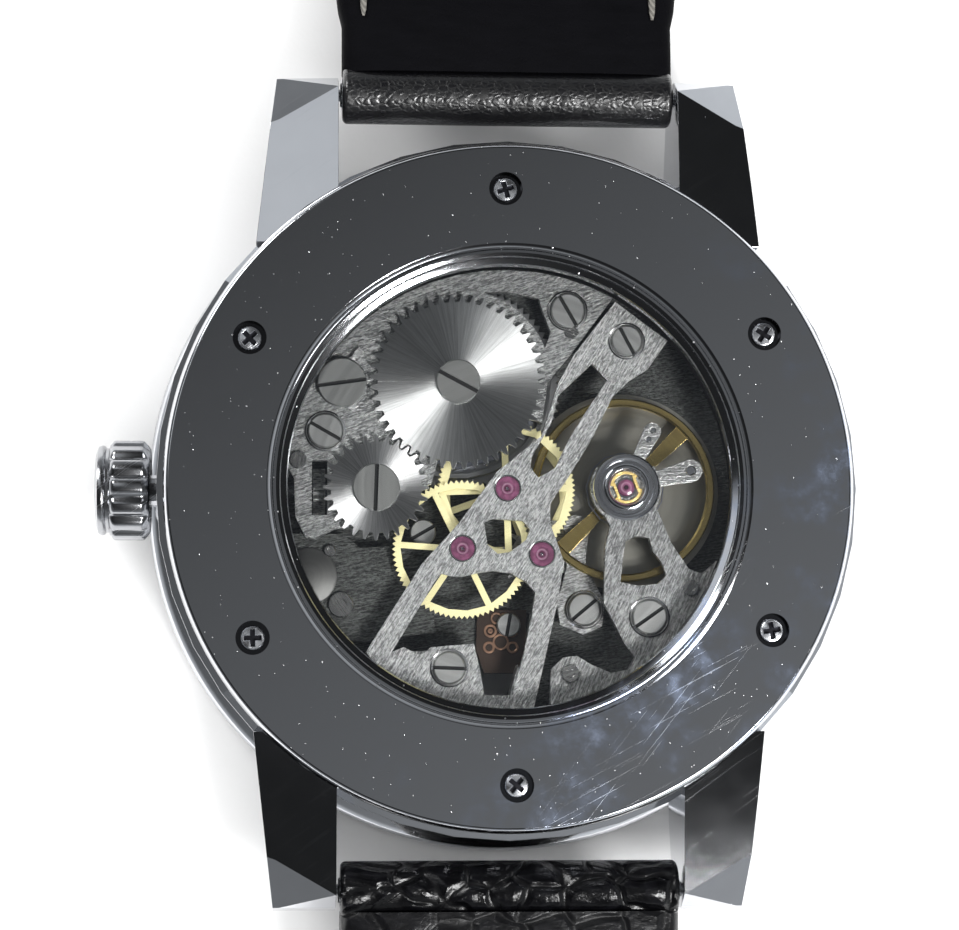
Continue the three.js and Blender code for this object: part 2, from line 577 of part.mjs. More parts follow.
function escapeWheel() {
  const outline = [];
  for (let i = 0; i < TEETH.escape; i += 1) {
    const a = 360 * i / TEETH.escape;
    outline.push(...arc(ESCAPE, 1.65, a, a + 13, 1), ...arc(ESCAPE, 2.2, a + 21, a + 24, 1));
  }
  const wheel = plate(outline, ESCAPE_Z, spokeWindows(ESCAPE, 4, 0.5, 1.4, 0.2, 30, 3));
  return join(wheel, plate(toothOutline(escapePinion), [7.2, 7.62]), disc(ESCAPE, 0.16, [6.04, 7.9], 10),
    disc(ESCAPE, 0.1, [7.8, 8.4], 8));
}
node('escape_wheel', escapeWheel(), 'steel');

// A fork with two arms that reach the escape wheel and a lever that points at the balance.
function palletFork() {
  const aim = THREE.MathUtils.radToDeg(Math.atan2(ESCAPE[1] - PALLET[1], ESCAPE[0] - PALLET[0]));
  const reach = (radius, from, to, steps) => arc(PALLET, radius, aim + from, aim + to, steps);
  const outline = [
    ...reach(0.4, -150, -75, 4), ...reach(1.85, -55, -48, 1), ...reach(0.45, -20, 20, 3),
    ...reach(1.85, 48, 55, 1), ...reach(0.4, 75, 150, 4), ...reach(2.6, 176, 184, 1),
  ];
  return join(plate(outline, FORK_Z), disc(PALLET, 0.1, [6.04, 6.78], 10));
}
node('pallet_fork', palletFork(), 'steel');

function balanceWheel() {
  const rim = plate(circle(BALANCE, 5.45, MEDIUM), BALANCE_Z, [circle(BALANCE, 4.95, MEDIUM)]);
  const along = rad(44);
  const arm = (sign) => {
    const geometry = box(0.3, 5.1, -0.32, 0.32, 6.98, 7.12);
    geometry.rotateZ(along + (sign > 0 ? 0 : Math.PI));
    geometry.translate(BALANCE[0], BALANCE[1], 0);
    return geometry;
  };
  const staff = turned([[0, 6.05], [0.1, 6.05], [0.12, 6.6], [0.6, 6.62], [0.6, 6.72], [0.25, 6.75],
    [0.25, 7.9], [0.1, 7.95], [0.1, 8.4], [0, 8.4]], 12, BALANCE);
  return join(rim, arm(1), arm(-1), disc(BALANCE, 0.7, [6.97, 7.13], 20), staff);
}
node('balance_wheel', balanceWheel(), 'brass');
node('hairspring', spiral(BALANCE, 0.55, 2.35, 6, 0.07, HAIRSPRING_Z, 10, 78), 'steel');

// ---------------------------------------------------------------- dial side
const motionModule = 0.13;
const toMinute = motionModule * (TEETH.cannon + TEETH.minute) / 2;
const MINUTE_AXIS = [toMinute * Math.cos(rad(200)), toMinute * Math.sin(rad(200))];
const cannonGear = gear(CENTRE, TEETH.cannon, motionModule * TEETH.cannon / 2, 0);
const minuteGear = meshed(cannonGear, MINUTE_AXIS, TEETH.minute, motionModule * TEETH.minute / 2);
const hourRadius = toMinute * TEETH.hour / (TEETH.hour + TEETH.minutePinion);
const hourGear = gear(CENTRE, TEETH.hour, hourRadius, 0);
const minutePinion = meshed(hourGear, MINUTE_AXIS, TEETH.minutePinion, toMinute - hourRadius);

function handOutline(length, tail, width, turn) {
  const half = width / 2;
  const points = [[-tail, -half * 0.7], [length * 0.7, -half], [length, -half * 0.2], [length, half * 0.2],
    [length * 0.7, half], [-tail, half * 0.7]];
  const [c, s] = [Math.cos(rad(turn)), Math.sin(rad(turn))];
  return points.map(([x, y]) => [x * c - y * s, x * s + y * c]);
}

// Seen from the dial, the hands stand at about ten past ten, and the seconds hand at 35.
function minuteHand() {
  const hand = join(plate(handOutline(14.2, 2.4, 1.5, 149), [2.52, 2.66]), disc(CENTRE, 1.1, [2.52, 2.66]));
  const cannon = plate(toothOutline(cannonGear), [4.0, 4.24]);
  const tube = disc(CENTRE, 0.66, [2.6, 4.1]);
  return cut(join(hand, cannon, tube), disc(CENTRE, 0.54, [3.36, 4.5], 16), disc(CENTRE, 0.26, [2, 3.5], 16));
}
node('minute_hand', minuteHand(), 'steel');

function hourHand() {
  const hand = join(plate(handOutline(9.2, 2.2, 1.9, 35), [2.84, 2.98]), disc(CENTRE, 1.4, [2.84, 2.98]));
  const wheel = plate(toothOutline(hourGear, FINE_TOOTH), [3.75, 3.95]);
  return cut(join(hand, wheel, disc(CENTRE, 0.95, [2.9, 3.8])), disc(CENTRE, 0.72, [2, 4.5]));
}
node('hour_hand', hourHand(), 'steel');

function minuteWheel() {
  const wheel = plate(toothOutline(minuteGear, FINE_TOOTH), [4.0, 4.2]);
  return cut(join(wheel, plate(toothOutline(minutePinion), [3.75, 4.1])), disc(MINUTE_AXIS, 0.2, [3, 5], 10));
}
node('minute_wheel', minuteWheel(), 'brass');

node('seconds_hand', cut(join(plate(handOutline(15.0, 4.5, 0.45, -30 - 90), [2.2, 2.34]),
  disc(CENTRE, 0.75, [2.1, 2.42])), disc(CENTRE, 0.25, [2, 3], 16)), 'steel');

// ---------------------------------------------------------------- strap
for (const [name, s] of [['spring_bar_12', 1], ['spring_bar_6', -1]]) {
  node(name, turnedAlongX([[0, 0], [0.36, 0], [0.36, 0.7], [0.75, 0.7], [0.75, 20.5], [0.36, 20.5],
    [0.36, 21.2], [0, 21.2]], 16, -10.6, s * BAR_Y, BAR_Z), 'steel');
}

// Side view of a strap half: its underside leaves the spring bar and settles at a rest height.
const STRAP_DROP = 26;            // length over which a strap half comes down to the table
const STRAP_12_REST = 0.85;       // this half lies on its keepers
const STRAP_6_REST = 0.02;

const strapThickness = (d, length) => {
  const near = Math.min(d / 6, 1);
  const far = THREE.MathUtils.clamp((d - 8) / (length - 30), 0, 1);
  return 3.0 + 0.9 * near - 1.7 * far;
};

function strapMiddle(d, length, rest) {
  const flat = rest + strapThickness(d, length) / 2;
  const t = THREE.MathUtils.clamp((d - 1) / STRAP_DROP, 0, 1);
  return BAR_Z + (flat - BAR_Z) * t * t * (3 - 2 * t);
}

// Half width of a strap half at a distance d from its bar; the tip is a rounded point.
function strapHalf(d, length, tip) {
  const flare = d < 5 ? 0 : 0.35;
  const taper = 1.3 * THREE.MathUtils.clamp((d - 12) / (length - 30), 0, 1);
  const straight = STRAP_WIDTH / 2 + flare - taper;
  const intoTip = Math.max(tip - (length - d), 0);
  return tip === 0 ? straight : straight * Math.sqrt(1 - 0.96 * (intoTip / tip) ** 2);
}

function strap(side, length, tip, rest) {
  const stations = [2, 4.4, 5.6, 9, 13, 17, 21, 25, 28];
  for (let d = 38; d < length - tip - 3; d += 12) stations.push(d);
  for (let i = 0; i <= 6; i += 1) {
    if (tip > 0 || i === 6) stations.push(length - tip * (1 - Math.sin(rad(15 * i))));
  }
  const edge = (d, sign) => [d, strapMiddle(d, length, rest) - BAR_Z + sign * strapThickness(d, length) / 2];
  const outline = [
    ...stations.map((d) => edge(d, 1)).reverse(),
    ...arc(CENTRE, 1.55, 70, 290, 10),
    ...stations.map((d) => edge(d, -1)),
  ];
  const geometry = plate(outline, [-1, 1], [circle(CENTRE, 0.8, 14)]);
  const p = geometry.getAttribute('position');
  for (let i = 0; i < p.count; i += 1) {
    const [d, z, across] = [p.getX(i), p.getY(i), p.getZ(i)];
    p.setXYZ(i, across * strapHalf(Math.max(d, 0), length, tip), side * (BAR_Y + d), BAR_Z + z);
  }
  return welded(geometry);
}

const holeDistance = 7;
const strap6Holes = [0, 1, 2, 3, 4, 5, 6].map((i) => [0, holeDistance * i + 26 - STRAP_6_END]);
node('strap_6', cut(strap(-1, STRAP_6_END - BAR_Y, 12, STRAP_6_REST),
  ...strap6Holes.map((at) => disc(at, 0.9, [-1, 6], 8))), 'leather');

// ---------------------------------------------------------------- buckle
const buckleY = STRAP_12_END;
const buckleZ = STRAP_12_REST + 1.1;
const strapEnd = 1.5;             // the strap reaches this far past the buckle bar
node('strap_12', cut(strap(1, STRAP_12_END + strapEnd - BAR_Y, 0, STRAP_12_REST),
  barAlongX(0.82, -12, 12, buckleY, buckleZ, 14),
  box(-1.5, 1.5, buckleY - 6, buckleY + 6, -1, 6)), 'leather');
node('buckle_bar', barAlongX(0.7, -10.2, 10.2, buckleY, buckleZ, 14), 'steel');

function buckleFrame() {
  const inner = 9.25;
  const outer = 10.65;
  const back = buckleY - 1.3;
  const plan = plate([[-outer, back], [-inner, back], [-inner, buckleY + 8.6], [inner, buckleY + 8.6],
    [inner, back], [outer, back], [outer, buckleY + 8.9], [8.9, buckleY + 10.9], [-8.9, buckleY + 10.9],
    [-outer, buckleY + 8.9]], [-1, 5]);
  const side = sidePlate([[back - 1, buckleZ - 0.95], [buckleY + 2.5, buckleZ - 0.95],
    [buckleY + 7.5, 0.05], [buckleY + 12, 0.05], [buckleY + 12, 1.7], [buckleY + 8, 1.9],
    [buckleY + 2, buckleZ + 0.95], [back - 1, buckleZ + 0.95]], -12, 12);
  return cut(common(plan, side), barAlongX(0.74, -10.24, 10.24, buckleY, buckleZ, 14));
}
node('buckle_frame', buckleFrame(), 'steel');

function buckleTongue() {
  const bar = [buckleY, buckleZ];
  const outline = [...arc(bar, 1.15, 70, 290, 8), [buckleY + 3, 1.25], [buckleY + 8, 1.98],
    [buckleY + 11.2, 1.78], [buckleY + 11.4, 2.2], [buckleY + 8.2, 2.65], [buckleY + 3, 2.7]];
  return sidePlate(outline, -0.95, 0.95, [circle(bar, 0.76, 14)]);
}
node('buckle_tongue', buckleTongue(), 'steel');

function keeper(from, to) {
  const half = 10.1;
  const wall = 0.75;
  const loop = plate([[-half - wall, 0.03], [half + wall, 0.03], [half + wall, 6.3], [-half - wall, 6.3]],
    [-to, -from], [[[-half, 0.8], [half, 0.8], [half, 5.6], [-half, 5.6]]]);
  loop.rotateX(Math.PI / 2);
  return loop;
}
node('fixed_keeper', keeper(STRAP_12_END - 10, STRAP_12_END - 6), 'leather');
node('free_keeper', keeper(STRAP_12_END - 26, STRAP_12_END - 22), 'leather');

export default watch;
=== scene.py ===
"""A hand-wound skeleton wristwatch lying dial down: its case, movement, strap and a plain studio."""
import math

import bmesh
import bpy
from bpy.props import FloatProperty, FloatVectorProperty, IntProperty, PointerProperty
from mathutils import Matrix, Vector


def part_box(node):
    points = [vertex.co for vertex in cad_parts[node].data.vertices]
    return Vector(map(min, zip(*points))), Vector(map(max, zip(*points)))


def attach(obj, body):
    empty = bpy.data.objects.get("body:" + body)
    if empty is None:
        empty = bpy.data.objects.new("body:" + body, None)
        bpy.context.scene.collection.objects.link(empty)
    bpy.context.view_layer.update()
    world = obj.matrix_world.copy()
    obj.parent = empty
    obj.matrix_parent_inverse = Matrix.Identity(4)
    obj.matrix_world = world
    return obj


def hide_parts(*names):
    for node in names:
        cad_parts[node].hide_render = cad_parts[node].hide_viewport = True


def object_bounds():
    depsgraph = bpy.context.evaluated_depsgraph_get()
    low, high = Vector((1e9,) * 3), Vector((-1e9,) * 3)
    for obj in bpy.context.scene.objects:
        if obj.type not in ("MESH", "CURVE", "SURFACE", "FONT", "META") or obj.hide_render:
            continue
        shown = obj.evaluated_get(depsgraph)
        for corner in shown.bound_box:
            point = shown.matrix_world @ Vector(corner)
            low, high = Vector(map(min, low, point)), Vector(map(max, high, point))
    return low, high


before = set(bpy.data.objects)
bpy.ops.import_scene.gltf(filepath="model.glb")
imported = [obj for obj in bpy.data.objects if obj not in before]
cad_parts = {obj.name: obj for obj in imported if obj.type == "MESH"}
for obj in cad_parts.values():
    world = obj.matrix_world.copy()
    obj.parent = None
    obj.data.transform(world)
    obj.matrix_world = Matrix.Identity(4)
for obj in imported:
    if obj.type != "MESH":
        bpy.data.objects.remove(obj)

bl_info = {
    "name": "Skeleton Wristwatch",
    "version": (1, 0, 0),
    "blender": (4, 5, 0),
    "location": "View3D > Sidebar > Watch",
    "description": "Makes the case, movement, strap and studio of a skeleton wristwatch",
    "category": "Add Mesh",
}

MM = 0.001
CAD_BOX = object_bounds()

# Axes of the movement, in millimetres from the case axis
CENTRE = (0.0, 0.0)
BARREL = (-2.92, 6.25)
CROWN_WHEEL = (-7.72, 0.0)
THIRD = (-2.65, -3.54)
ESCAPE = (2.01, -3.86)
BALANCE = (6.95, 0.05)
STEM_Z = 5.9
BACK_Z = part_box("case_back")[1].z / MM
BAR_Y, BAR_Z = 23.3, 8.5
LUG_INNER = 10.0
LUG_RIDGE_Z = 10.13
CROWN_X = -20.85
SCREW_CIRCLE = 17.3
BACK_TURN = 0.9


# ---------------------------------------------------------------- settings
def length(name, about, default, low=0.0, high=0.1):
    return FloatProperty(name=name, description=about, default=default, min=low, max=high,
                         subtype="DISTANCE", unit="LENGTH", precision=5)


def colour(name, about, default):
    return FloatVectorProperty(name=name, description=about, default=default, size=3, min=0, max=1,
                               subtype="COLOR")


class WatchCaseSettings(bpy.types.PropertyGroup):
    window_radius: length("Window radius", "Clear opening of the case back", 0.0129)
    ring_inner: length("Ring inner radius", "Inner edge of the flat polished ring", 0.0141)
    ring_outer: length("Ring outer radius", "Outer edge of the flat polished ring", 0.01975)
    counterbore: length("Counterbore radius", "Recess round each case back screw", 0.00098)
    screw_head: length("Screw head radius", "Head of each case back screw", 0.00070)
    steel_tint: colour("Steel", "Colour of the polished case steel", (0.60, 0.61, 0.635))
    haze_tint: colour("Haze", "Colour of the smears on the polished back", (0.56, 0.68, 0.96))
    lug_lean: FloatProperty(name="Lug lean", description="Slope of the backs of the lugs", default=0.11,
                            min=0, max=0.3, subtype="FACTOR")
    flutes: IntProperty(name="Crown flutes", description="Grooves round the crown", default=14, min=6, max=40)


class WatchMovementSettings(bpy.types.PropertyGroup):
    edge_break: length("Edge break", "Width of the bevel on a bridge", 0.00009, high=0.001)
    tooth_break: length("Tooth break", "Width of the bevel on a wheel", 0.00003, high=0.001)
    bridge_tint: colour("Bridges", "Colour of the frosted bridges", (0.62, 0.63, 0.625))
    plate_tint: colour("Main plate", "Colour of the main plate under the bridges", (0.11, 0.115, 0.11))
    brass_tint: colour("Train wheels", "Colour of the pale brass wheels", (0.95, 0.86, 0.48))
    gilt_tint: colour("Balance", "Colour of the gilt balance", (0.95, 0.70, 0.27))
    ruby_tint: colour("Jewels", "Colour of the ruby bearings", (0.085, 0.028, 0.055))


class WatchStrapSettings(bpy.types.PropertyGroup):
    leather_tint: colour("Leather", "Colour of the strap leather", (0.0013, 0.0013, 0.0017))
    thread_tint: colour("Thread", "Colour of the stitching", (0.10, 0.095, 0.085))
    stitch_length: length("Stitch length", "Length of one stitch", 0.0024, high=0.01)
    stitch_inset: length("Stitch inset", "Distance of the seam from the strap edge", 0.0016, high=0.01)
    scale_size: length("Scale size", "Size of one embossed scale", 0.0027, high=0.02)


class WatchStageSettings(bpy.types.PropertyGroup):
    floor_tint: colour("Floor", "Colour of the floor", (0.60, 0.60, 0.60))
    floor_size: length("Floor size", "Width of the floor", 3.0, high=10)
    key_power: FloatProperty(name="Key", description="Power of the main soft light", default=4.4, min=0, unit="POWER")
    side_power: FloatProperty(name="Side", description="Power of the side light", default=1.6, min=0, unit="POWER")
    fill_power: FloatProperty(name="Fill", description="Power of the light that whitens the floor", default=50.0,
                              min=0, unit="POWER")
    sky: FloatProperty(name="Sky", description="Brightness of the studio round the watch", default=1.0, min=0)


# ---------------------------------------------------------------- finishes
class Socket:
    """A shader output that takes part in ordinary arithmetic."""

    def __init__(self, finish, out):
        self.finish, self.out = finish, out

    def math(self, operation, *values, clamp=False):
        return self.finish.node("ShaderNodeMath", {"operation": operation, "use_clamp": clamp},
                                dict(enumerate(values)))

    def __add__(self, other):
        return self.math("ADD", self, other)

    __radd__ = __add__

    def __sub__(self, other):
        return self.math("SUBTRACT", self, other)

    def __rsub__(self, other):
        return self.math("SUBTRACT", other, self)

    def __mul__(self, other):
        return self.math("MULTIPLY", self, other)

    __rmul__ = __mul__

    def __truediv__(self, other):
        return self.math("DIVIDE", self, other)

    def __pow__(self, other):
        return self.math("POWER", self, other)

    def clamp(self):
        return self.math("ADD", self, 0.0, clamp=True)

    def above(self, low, high):
        """0 below low, 1 above high, and smooth between."""
        return self.finish.node("ShaderNodeMapRange", {"interpolation_type": "SMOOTHSTEP"},
                                {"Value": self, "From Min": low, "From Max": high})

    def below(self, low, high):
        return 1 - self.above(low, high)


class Finish:
    """A material under construction, with its Principled shader at hand."""

    def __init__(self, name, **constants):
        self.material = bpy.data.materials.new(name)
        self.material.use_nodes = True
        self.tree = self.material.node_tree
        self.shader = self.tree.nodes["Principled BSDF"]
        self.set(**constants)

    @classmethod
    def around(cls, world):
        """The same tools, working on the studio's background."""
        self = cls.__new__(cls)
        world.use_nodes = True
        self.tree = world.node_tree
        self.shader = self.tree.nodes["Background"]
        return self

    def node(self, kind, settings=None, values=None, output=0):
        node = self.tree.nodes.new(kind)
        for key, value in (settings or {}).items():
            if key == "stops":
                ramp = node.color_ramp
                while len(ramp.elements) < len(value):
                    ramp.elements.new(0.5)
                for element, (position, tint) in zip(ramp.elements, value):
                    element.position, element.color = position, (*tint, 1)
            else:
                setattr(node, key, value)
        for key, value in (values or {}).items():
            self.feed(node.inputs[key], value)
        return Socket(self, node.outputs[output])

    def feed(self, socket, value):
        if isinstance(value, Socket):
            self.tree.links.new(value.out, socket)
        elif socket.type == "RGBA":
            socket.default_value = (*value, 1) if len(value) == 3 else value
        else:
            socket.default_value = value

    def set(self, **values):
        for key, value in values.items():
            self.feed(self.shader.inputs[key.replace("_", " ").title().replace("Ior", "IOR")], value)
        return self

    def place(self, at=(0, 0, 0), turn=0.0, size=(1, 1, 1)):
        """Object coordinates counted from a point, turned about the upright axis, in units of size, all in mm."""
        coords = self.node("ShaderNodeTexCoord", output="Object")
        return self.node("ShaderNodeMapping", {"vector_type": "TEXTURE"}, {
            "Vector": coords, "Location": [v * MM for v in at], "Rotation": (0, 0, math.radians(turn)),
            "Scale": [v * MM for v in size]})

    def axes(self, vector):
        split = self.node("ShaderNodeSeparateXYZ", values={"Vector": vector}).out.node
        return [Socket(self, out) for out in split.outputs]

    def noise(self, vector, scale=1.0, detail=2.0, roughness=0.5, distortion=0.0):
        return self.node("ShaderNodeTexNoise", values={"Vector": vector, "Scale": scale, "Detail": detail,
                                                      "Roughness": roughness, "Distortion": distortion})

    def cells(self, vector, scale=1.0, feature="F1", output="Distance", randomness=1.0):
        return self.node("ShaderNodeTexVoronoi", {"feature": feature},
                         {"Vector": vector, "Scale": scale, "Randomness": randomness}, output)

    def mix(self, factor, a, b):
        return self.node("ShaderNodeMix", {"data_type": "RGBA"}, {0: factor, 6: a, 7: b}, output=2)

    def bump(self, height, depth, strength=1.0, after=None):
        """A Bump whose height of 1 stands depth millimetres proud."""
        values = {"Height": height, "Distance": depth * MM, "Strength": strength}
        if after is not None:
            values["Normal"] = after
        return self.node("ShaderNodeBump", values=values)


def scaled(tint, factor):
    return [min(1.0, c * factor) for c in tint]


def dust(f, per_mm, size):
    """Scattered specks, fewer than one to a cell and of uneven brightness."""
    mm = f.place()
    chance = f.axes(f.cells(mm, per_mm, output="Color"))[0]
    return f.cells(mm, per_mm).below(size * 0.5, size) * chance.above(0.1, 1.0)


def hairlines(f, turn, length_, width, rarity):
    """Long fine scratches that run one way."""
    return f.noise(f.place(turn=turn, size=(length_, width, 1)), 1.0, 0).above(rarity, rarity + 0.02)


def polished_back(s):
    """Polished ring with dust, hairline scratches and bluish smears."""
    f = Finish("polished_back", metallic=1.0, specular_ior_level=0.5)
    mm = f.place()
    x, y, z = f.axes(mm)
    # Painted shade: near black in the counterbores and down the outer wall.
    painted_recess_shade = z.below(BACK_Z - 0.5, BACK_Z - 0.15) * (x * x + y * y).above(15.2 ** 2, 15.6 ** 2)
    cloud = f.noise(mm, 0.7, 4, 0.65)
    smear = f.noise(mm, 0.17, 4, 0.6).above(0.44, 0.64) * (x - 0.6 * y).above(-2, 20)
    haze = (smear * cloud.above(0.3, 0.75)).clamp()
    specks = (dust(f, 1.2, 0.08) + dust(f, 2.3, 0.09)).clamp()
    where = (x - y * 0.8).above(12, 22) * f.noise(mm, 0.15, 1).above(0.45, 0.6)
    scratch = ((hairlines(f, 28, 8, 0.07, 0.74) + hairlines(f, 52, 9, 0.06, 0.76)) * where).clamp()
    tint = f.mix(haze * 0.8, s.steel_tint, s.haze_tint)
    tint = f.mix(specks * 0.6, tint, (0.9, 0.9, 0.9))
    tint = f.mix(painted_recess_shade * 0.9, tint, (0.03, 0.03, 0.035))
    f.set(base_color=tint, roughness=0.07 + 0.2 * haze + 0.45 * specks + 0.2 * scratch + 0.04 * cloud,
          normal=f.bump(specks + 0.1 * scratch + 0.08 * f.noise(mm, 2.5, 2), 0.01, 0.5))
    return f.material


def polished_case(s, name="polished_case", roughness=0.06, tint=1.0):
    f = Finish(name, metallic=1.0)
    mm = f.place()
    wear = f.noise(mm, 0.5, 3)
    hair = hairlines(f, 35, 6, 0.06, 0.76)
    specks = dust(f, 1.0, 0.05)
    f.set(base_color=f.mix(wear, scaled(s.steel_tint, tint * 0.95), scaled(s.steel_tint, tint * 1.08)),
          roughness=roughness + 0.05 * wear + 0.06 * hair + 0.4 * specks,
          normal=f.bump(specks + 0.03 * hair + 0.1 * wear, 0.008, 0.4))
    return f.material


def frosted_steel(name, tint, turn=50.0, grain=0.30, rough=0.34, at=(0, 0, 0)):
    """Bright steel, brushed one way and a little crumpled by frosting."""
    f = Finish(name, metallic=1.0)
    stroke = f.noise(f.place(at, turn, (0.85, 0.075, 0.85)), 1.0, 3, 0.6)
    crumple = f.noise(f.place(at, turn, (0.24, 0.105, 0.24)), 1.0, 3, 0.6)
    speck = f.noise(f.place(), 9.0, 1)
    tone = (stroke * 0.5 + crumple * 0.5).above(0.38, 0.64)
    f.set(base_color=f.mix(tone, scaled(tint, 0.42), scaled(tint, 1.3)),
          roughness=rough + 0.14 * (1 - tone) + 0.05 * speck,
          normal=f.bump(stroke * 0.5 + crumple, 0.12 * grain / 0.30, 1.0))
    return f.material


def sunray_steel(name, tint, at):
    """A wheel brushed outwards from its axis."""
    f = Finish(name, metallic=1.0, anisotropic=0.92)
    x, y, _ = f.axes(f.place((*at, 0)))
    angle = y.math("ARCTAN2", y, x)
    radius = (x * x + y * y) ** 0.5
    ray = f.node("ShaderNodeCombineXYZ", values={"X": angle * 26.0, "Y": radius * 0.22, "Z": 0.0})
    wide = f.node("ShaderNodeCombineXYZ", values={"X": angle * 3.0, "Y": radius * 0.1, "Z": 4.0})
    streak = f.noise(ray, 1.0, 3, 0.65)
    tone = (streak * 0.75 + f.noise(wide, 1.0, 2) * 0.25).above(0.3, 0.7)
    f.set(base_color=f.mix(tone, scaled(tint, 0.66), scaled(tint, 1.2)), roughness=0.34 + 0.12 * (1 - tone),
          normal=f.bump(streak, 0.02, 0.8))
    return f.material


def turned_metal(name, tint, at, rough=0.25, pitch=0.16, depth=0.004):
    """Metal with fine turning rings about an upright axis."""
    f = Finish(name, metallic=1.0)
    x, y, z = f.axes(f.place((*at, 0)))
    radius = (x * x + y * y) ** 0.5
    rings = f.noise(f.node("ShaderNodeCombineXYZ", values={"X": radius / pitch, "Y": z, "Z": 0.0}), 1.0, 2)
    f.set(base_color=f.mix(rings, scaled(tint, 0.8), scaled(tint, 1.15)), roughness=rough + 0.14 * rings,
          normal=f.bump(rings, depth, 0.8))
    return f.material


def wheel_brass(name, tint, rough=0.34):
    """Pale brass, a little dulled by lacquer."""
    f = Finish(name, metallic=0.6)
    grain = f.noise(f.place(turn=20, size=(0.9, 0.08, 0.5)), 1.0, 2)
    blotch = f.noise(f.place(), 1.3, 2)
    f.set(base_color=f.mix(grain * 0.6 + blotch * 0.4, scaled(tint, 0.78), scaled(tint, 1.1)),
          roughness=rough + 0.12 * grain, normal=f.bump(grain, 0.008, 0.6))
    return f.material


def ruby(s, name, at):
    """Synthetic ruby, painted darker at its hole as painted shade and lighter in a ring on the polished cup as a
    painted highlight.
    """
    f = Finish(name, roughness=0.12, ior=1.6, coat_weight=0.3, coat_roughness=0.05)
    x, y, _ = f.axes(f.place((*at, 0)))
    radius = (x * x + y * y) ** 0.5
    # Painted shade: the hole is painted near black. Painted highlight: a lighter ring on the polished cup round it.
    hole = radius.below(0.12, 0.17)
    ring = radius.above(0.2, 0.26) * radius.below(0.3, 0.36)
    cloud = f.noise(f.place(), 2.4, 2)
    tint = f.mix(cloud.above(0.35, 0.7), s.ruby_tint, scaled(s.ruby_tint, 1.8))
    tint = f.mix(ring * 0.5, tint, (0.30, 0.18, 0.24))
    f.set(base_color=f.mix(hole, tint, (0.02, 0.01, 0.015)), normal=f.bump(cloud, 0.01, 0.3))
    return f.material


def matt(name, tint, rough=0.6, fleck=0.15, metallic=0.0, depth=0.01):
    f = Finish(name, metallic=metallic)
    grain = f.noise(f.place(), 4.0, 3)
    f.set(base_color=f.mix(grain, scaled(tint, 1 - fleck), scaled(tint, 1 + fleck)),
          roughness=rough + 0.1 * grain, normal=f.bump(grain, depth, 0.6))
    return f.material


def clear_glass(name, alpha=0.10):
    f = Finish(name, base_color=(0.02, 0.022, 0.025), ior=1.52, specular_ior_level=0.6, transmission_weight=0.0)
    f.set(roughness=0.02 + 0.06 * f.noise(f.place(), 0.7, 2), alpha=alpha)
    return f.material


def scroll_plate(name):
    """Bronze plate with raised scrolls."""
    f = Finish(name, metallic=1.0)
    x, y, _ = f.axes(f.place((-0.25, -8.6, 0)))
    folded = x.math("ABSOLUTE", x)

    def scroll(cx, cy, r, w):
        d = ((folded - cx) ** 2.0 + (y - cy) * (y - cy)) ** 0.5
        return (d - r).math("ABSOLUTE", d - r).below(w * 0.6, w * 1.5)

    lines = (scroll(0.62, 0.35, 0.32, 0.07) + scroll(0.62, 0.35, 0.1, 0.06) + scroll(0.7, -0.62, 0.28, 0.07)
             + scroll(0.0, -0.3, 0.42, 0.06) + scroll(0.25, 1.1, 0.3, 0.06)).clamp()
    grain = f.noise(f.place(), 5.0, 3)
    f.set(base_color=f.mix(lines, (0.075, 0.055, 0.045), (0.50, 0.30, 0.20)),
          roughness=0.42 - 0.1 * lines + 0.1 * grain,
          normal=f.bump(lines + 0.1 * grain, 0.05, 1.0))
    return f.material


def embossed_leather(s, name, shine=0.30, depth=0.16, strength=1.0):
    """Black calf pressed with scales, with creases between them and fine pores."""
    f = Finish(name, specular_ior_level=0.35, coat_roughness=0.1, coat_weight=0.12)
    size = s.scale_size / MM
    warp = f.noise(f.place(), 0.25, 2)
    mapped = f.place(size=(size, size * 0.72, size))
    bent = f.node("ShaderNodeVectorMath", {"operation": "ADD"}, {0: mapped, 1: warp * 1.0})
    edge = f.cells(bent, 1.0, "DISTANCE_TO_EDGE", "Distance", 0.75)
    scale = edge.above(0.0, 0.16) * 0.75 + edge.above(0.05, 0.45) * 0.25
    wrinkle = f.noise(f.place(size=(0.9, 0.45, 0.9)), 1.0, 3)
    pores = f.cells(f.place(), 4.5).above(0.1, 0.35)
    # The creases between the scales are painted darker as painted shade. The wrinkle noise varies the tone at random.
    tone = wrinkle.above(0.35, 0.7) * scale
    f.set(base_color=f.mix(tone, scaled(s.leather_tint, 0.6), scaled(s.leather_tint, 1.8)),
          roughness=shine + 0.10 * (1 - scale) + 0.08 * wrinkle,
          normal=f.bump(pores, 0.012, 0.4, after=f.bump(scale + wrinkle * 0.35, depth, strength)))
    return f.material


def rolled_leather(s):
    """Smooth glossy leather with fine grain and a few cross folds."""
    f = Finish("rolled_leather", specular_ior_level=0.8, coat_roughness=0.12, coat_weight=0.4)
    grain = f.cells(f.place(size=(0.42, 0.3, 0.3)), 1.0, "DISTANCE_TO_EDGE").above(0.0, 0.3)
    fold = f.noise(f.place(size=(1.6, 9.0, 9.0)), 1.0, 2)
    f.set(base_color=f.mix(grain, scaled(s.leather_tint, 0.6), scaled(s.leather_tint, 1.6)),
          roughness=0.24 + 0.12 * (1 - grain) + 0.1 * fold,
          normal=f.bump(grain, 0.02, 0.7, after=f.bump(fold, 0.22, 0.6)))
    return f.material


def lining_leather(s):
    """Smooth dark lining with fine pores."""
    f = Finish("lining_leather", specular_ior_level=0.03)
    pores = f.cells(f.place(), 3.2).above(0.05, 0.4)
    crease = f.noise(f.place(size=(2.4, 0.8, 1.0)), 1.0, 4, 0.6)
    f.set(base_color=f.mix(crease, scaled(s.leather_tint, 0.7), scaled(s.leather_tint, 1.7)),
          roughness=0.55 + 0.15 * crease, normal=f.bump(pores * 0.4 + crease, 0.05, 0.6))
    return f.material


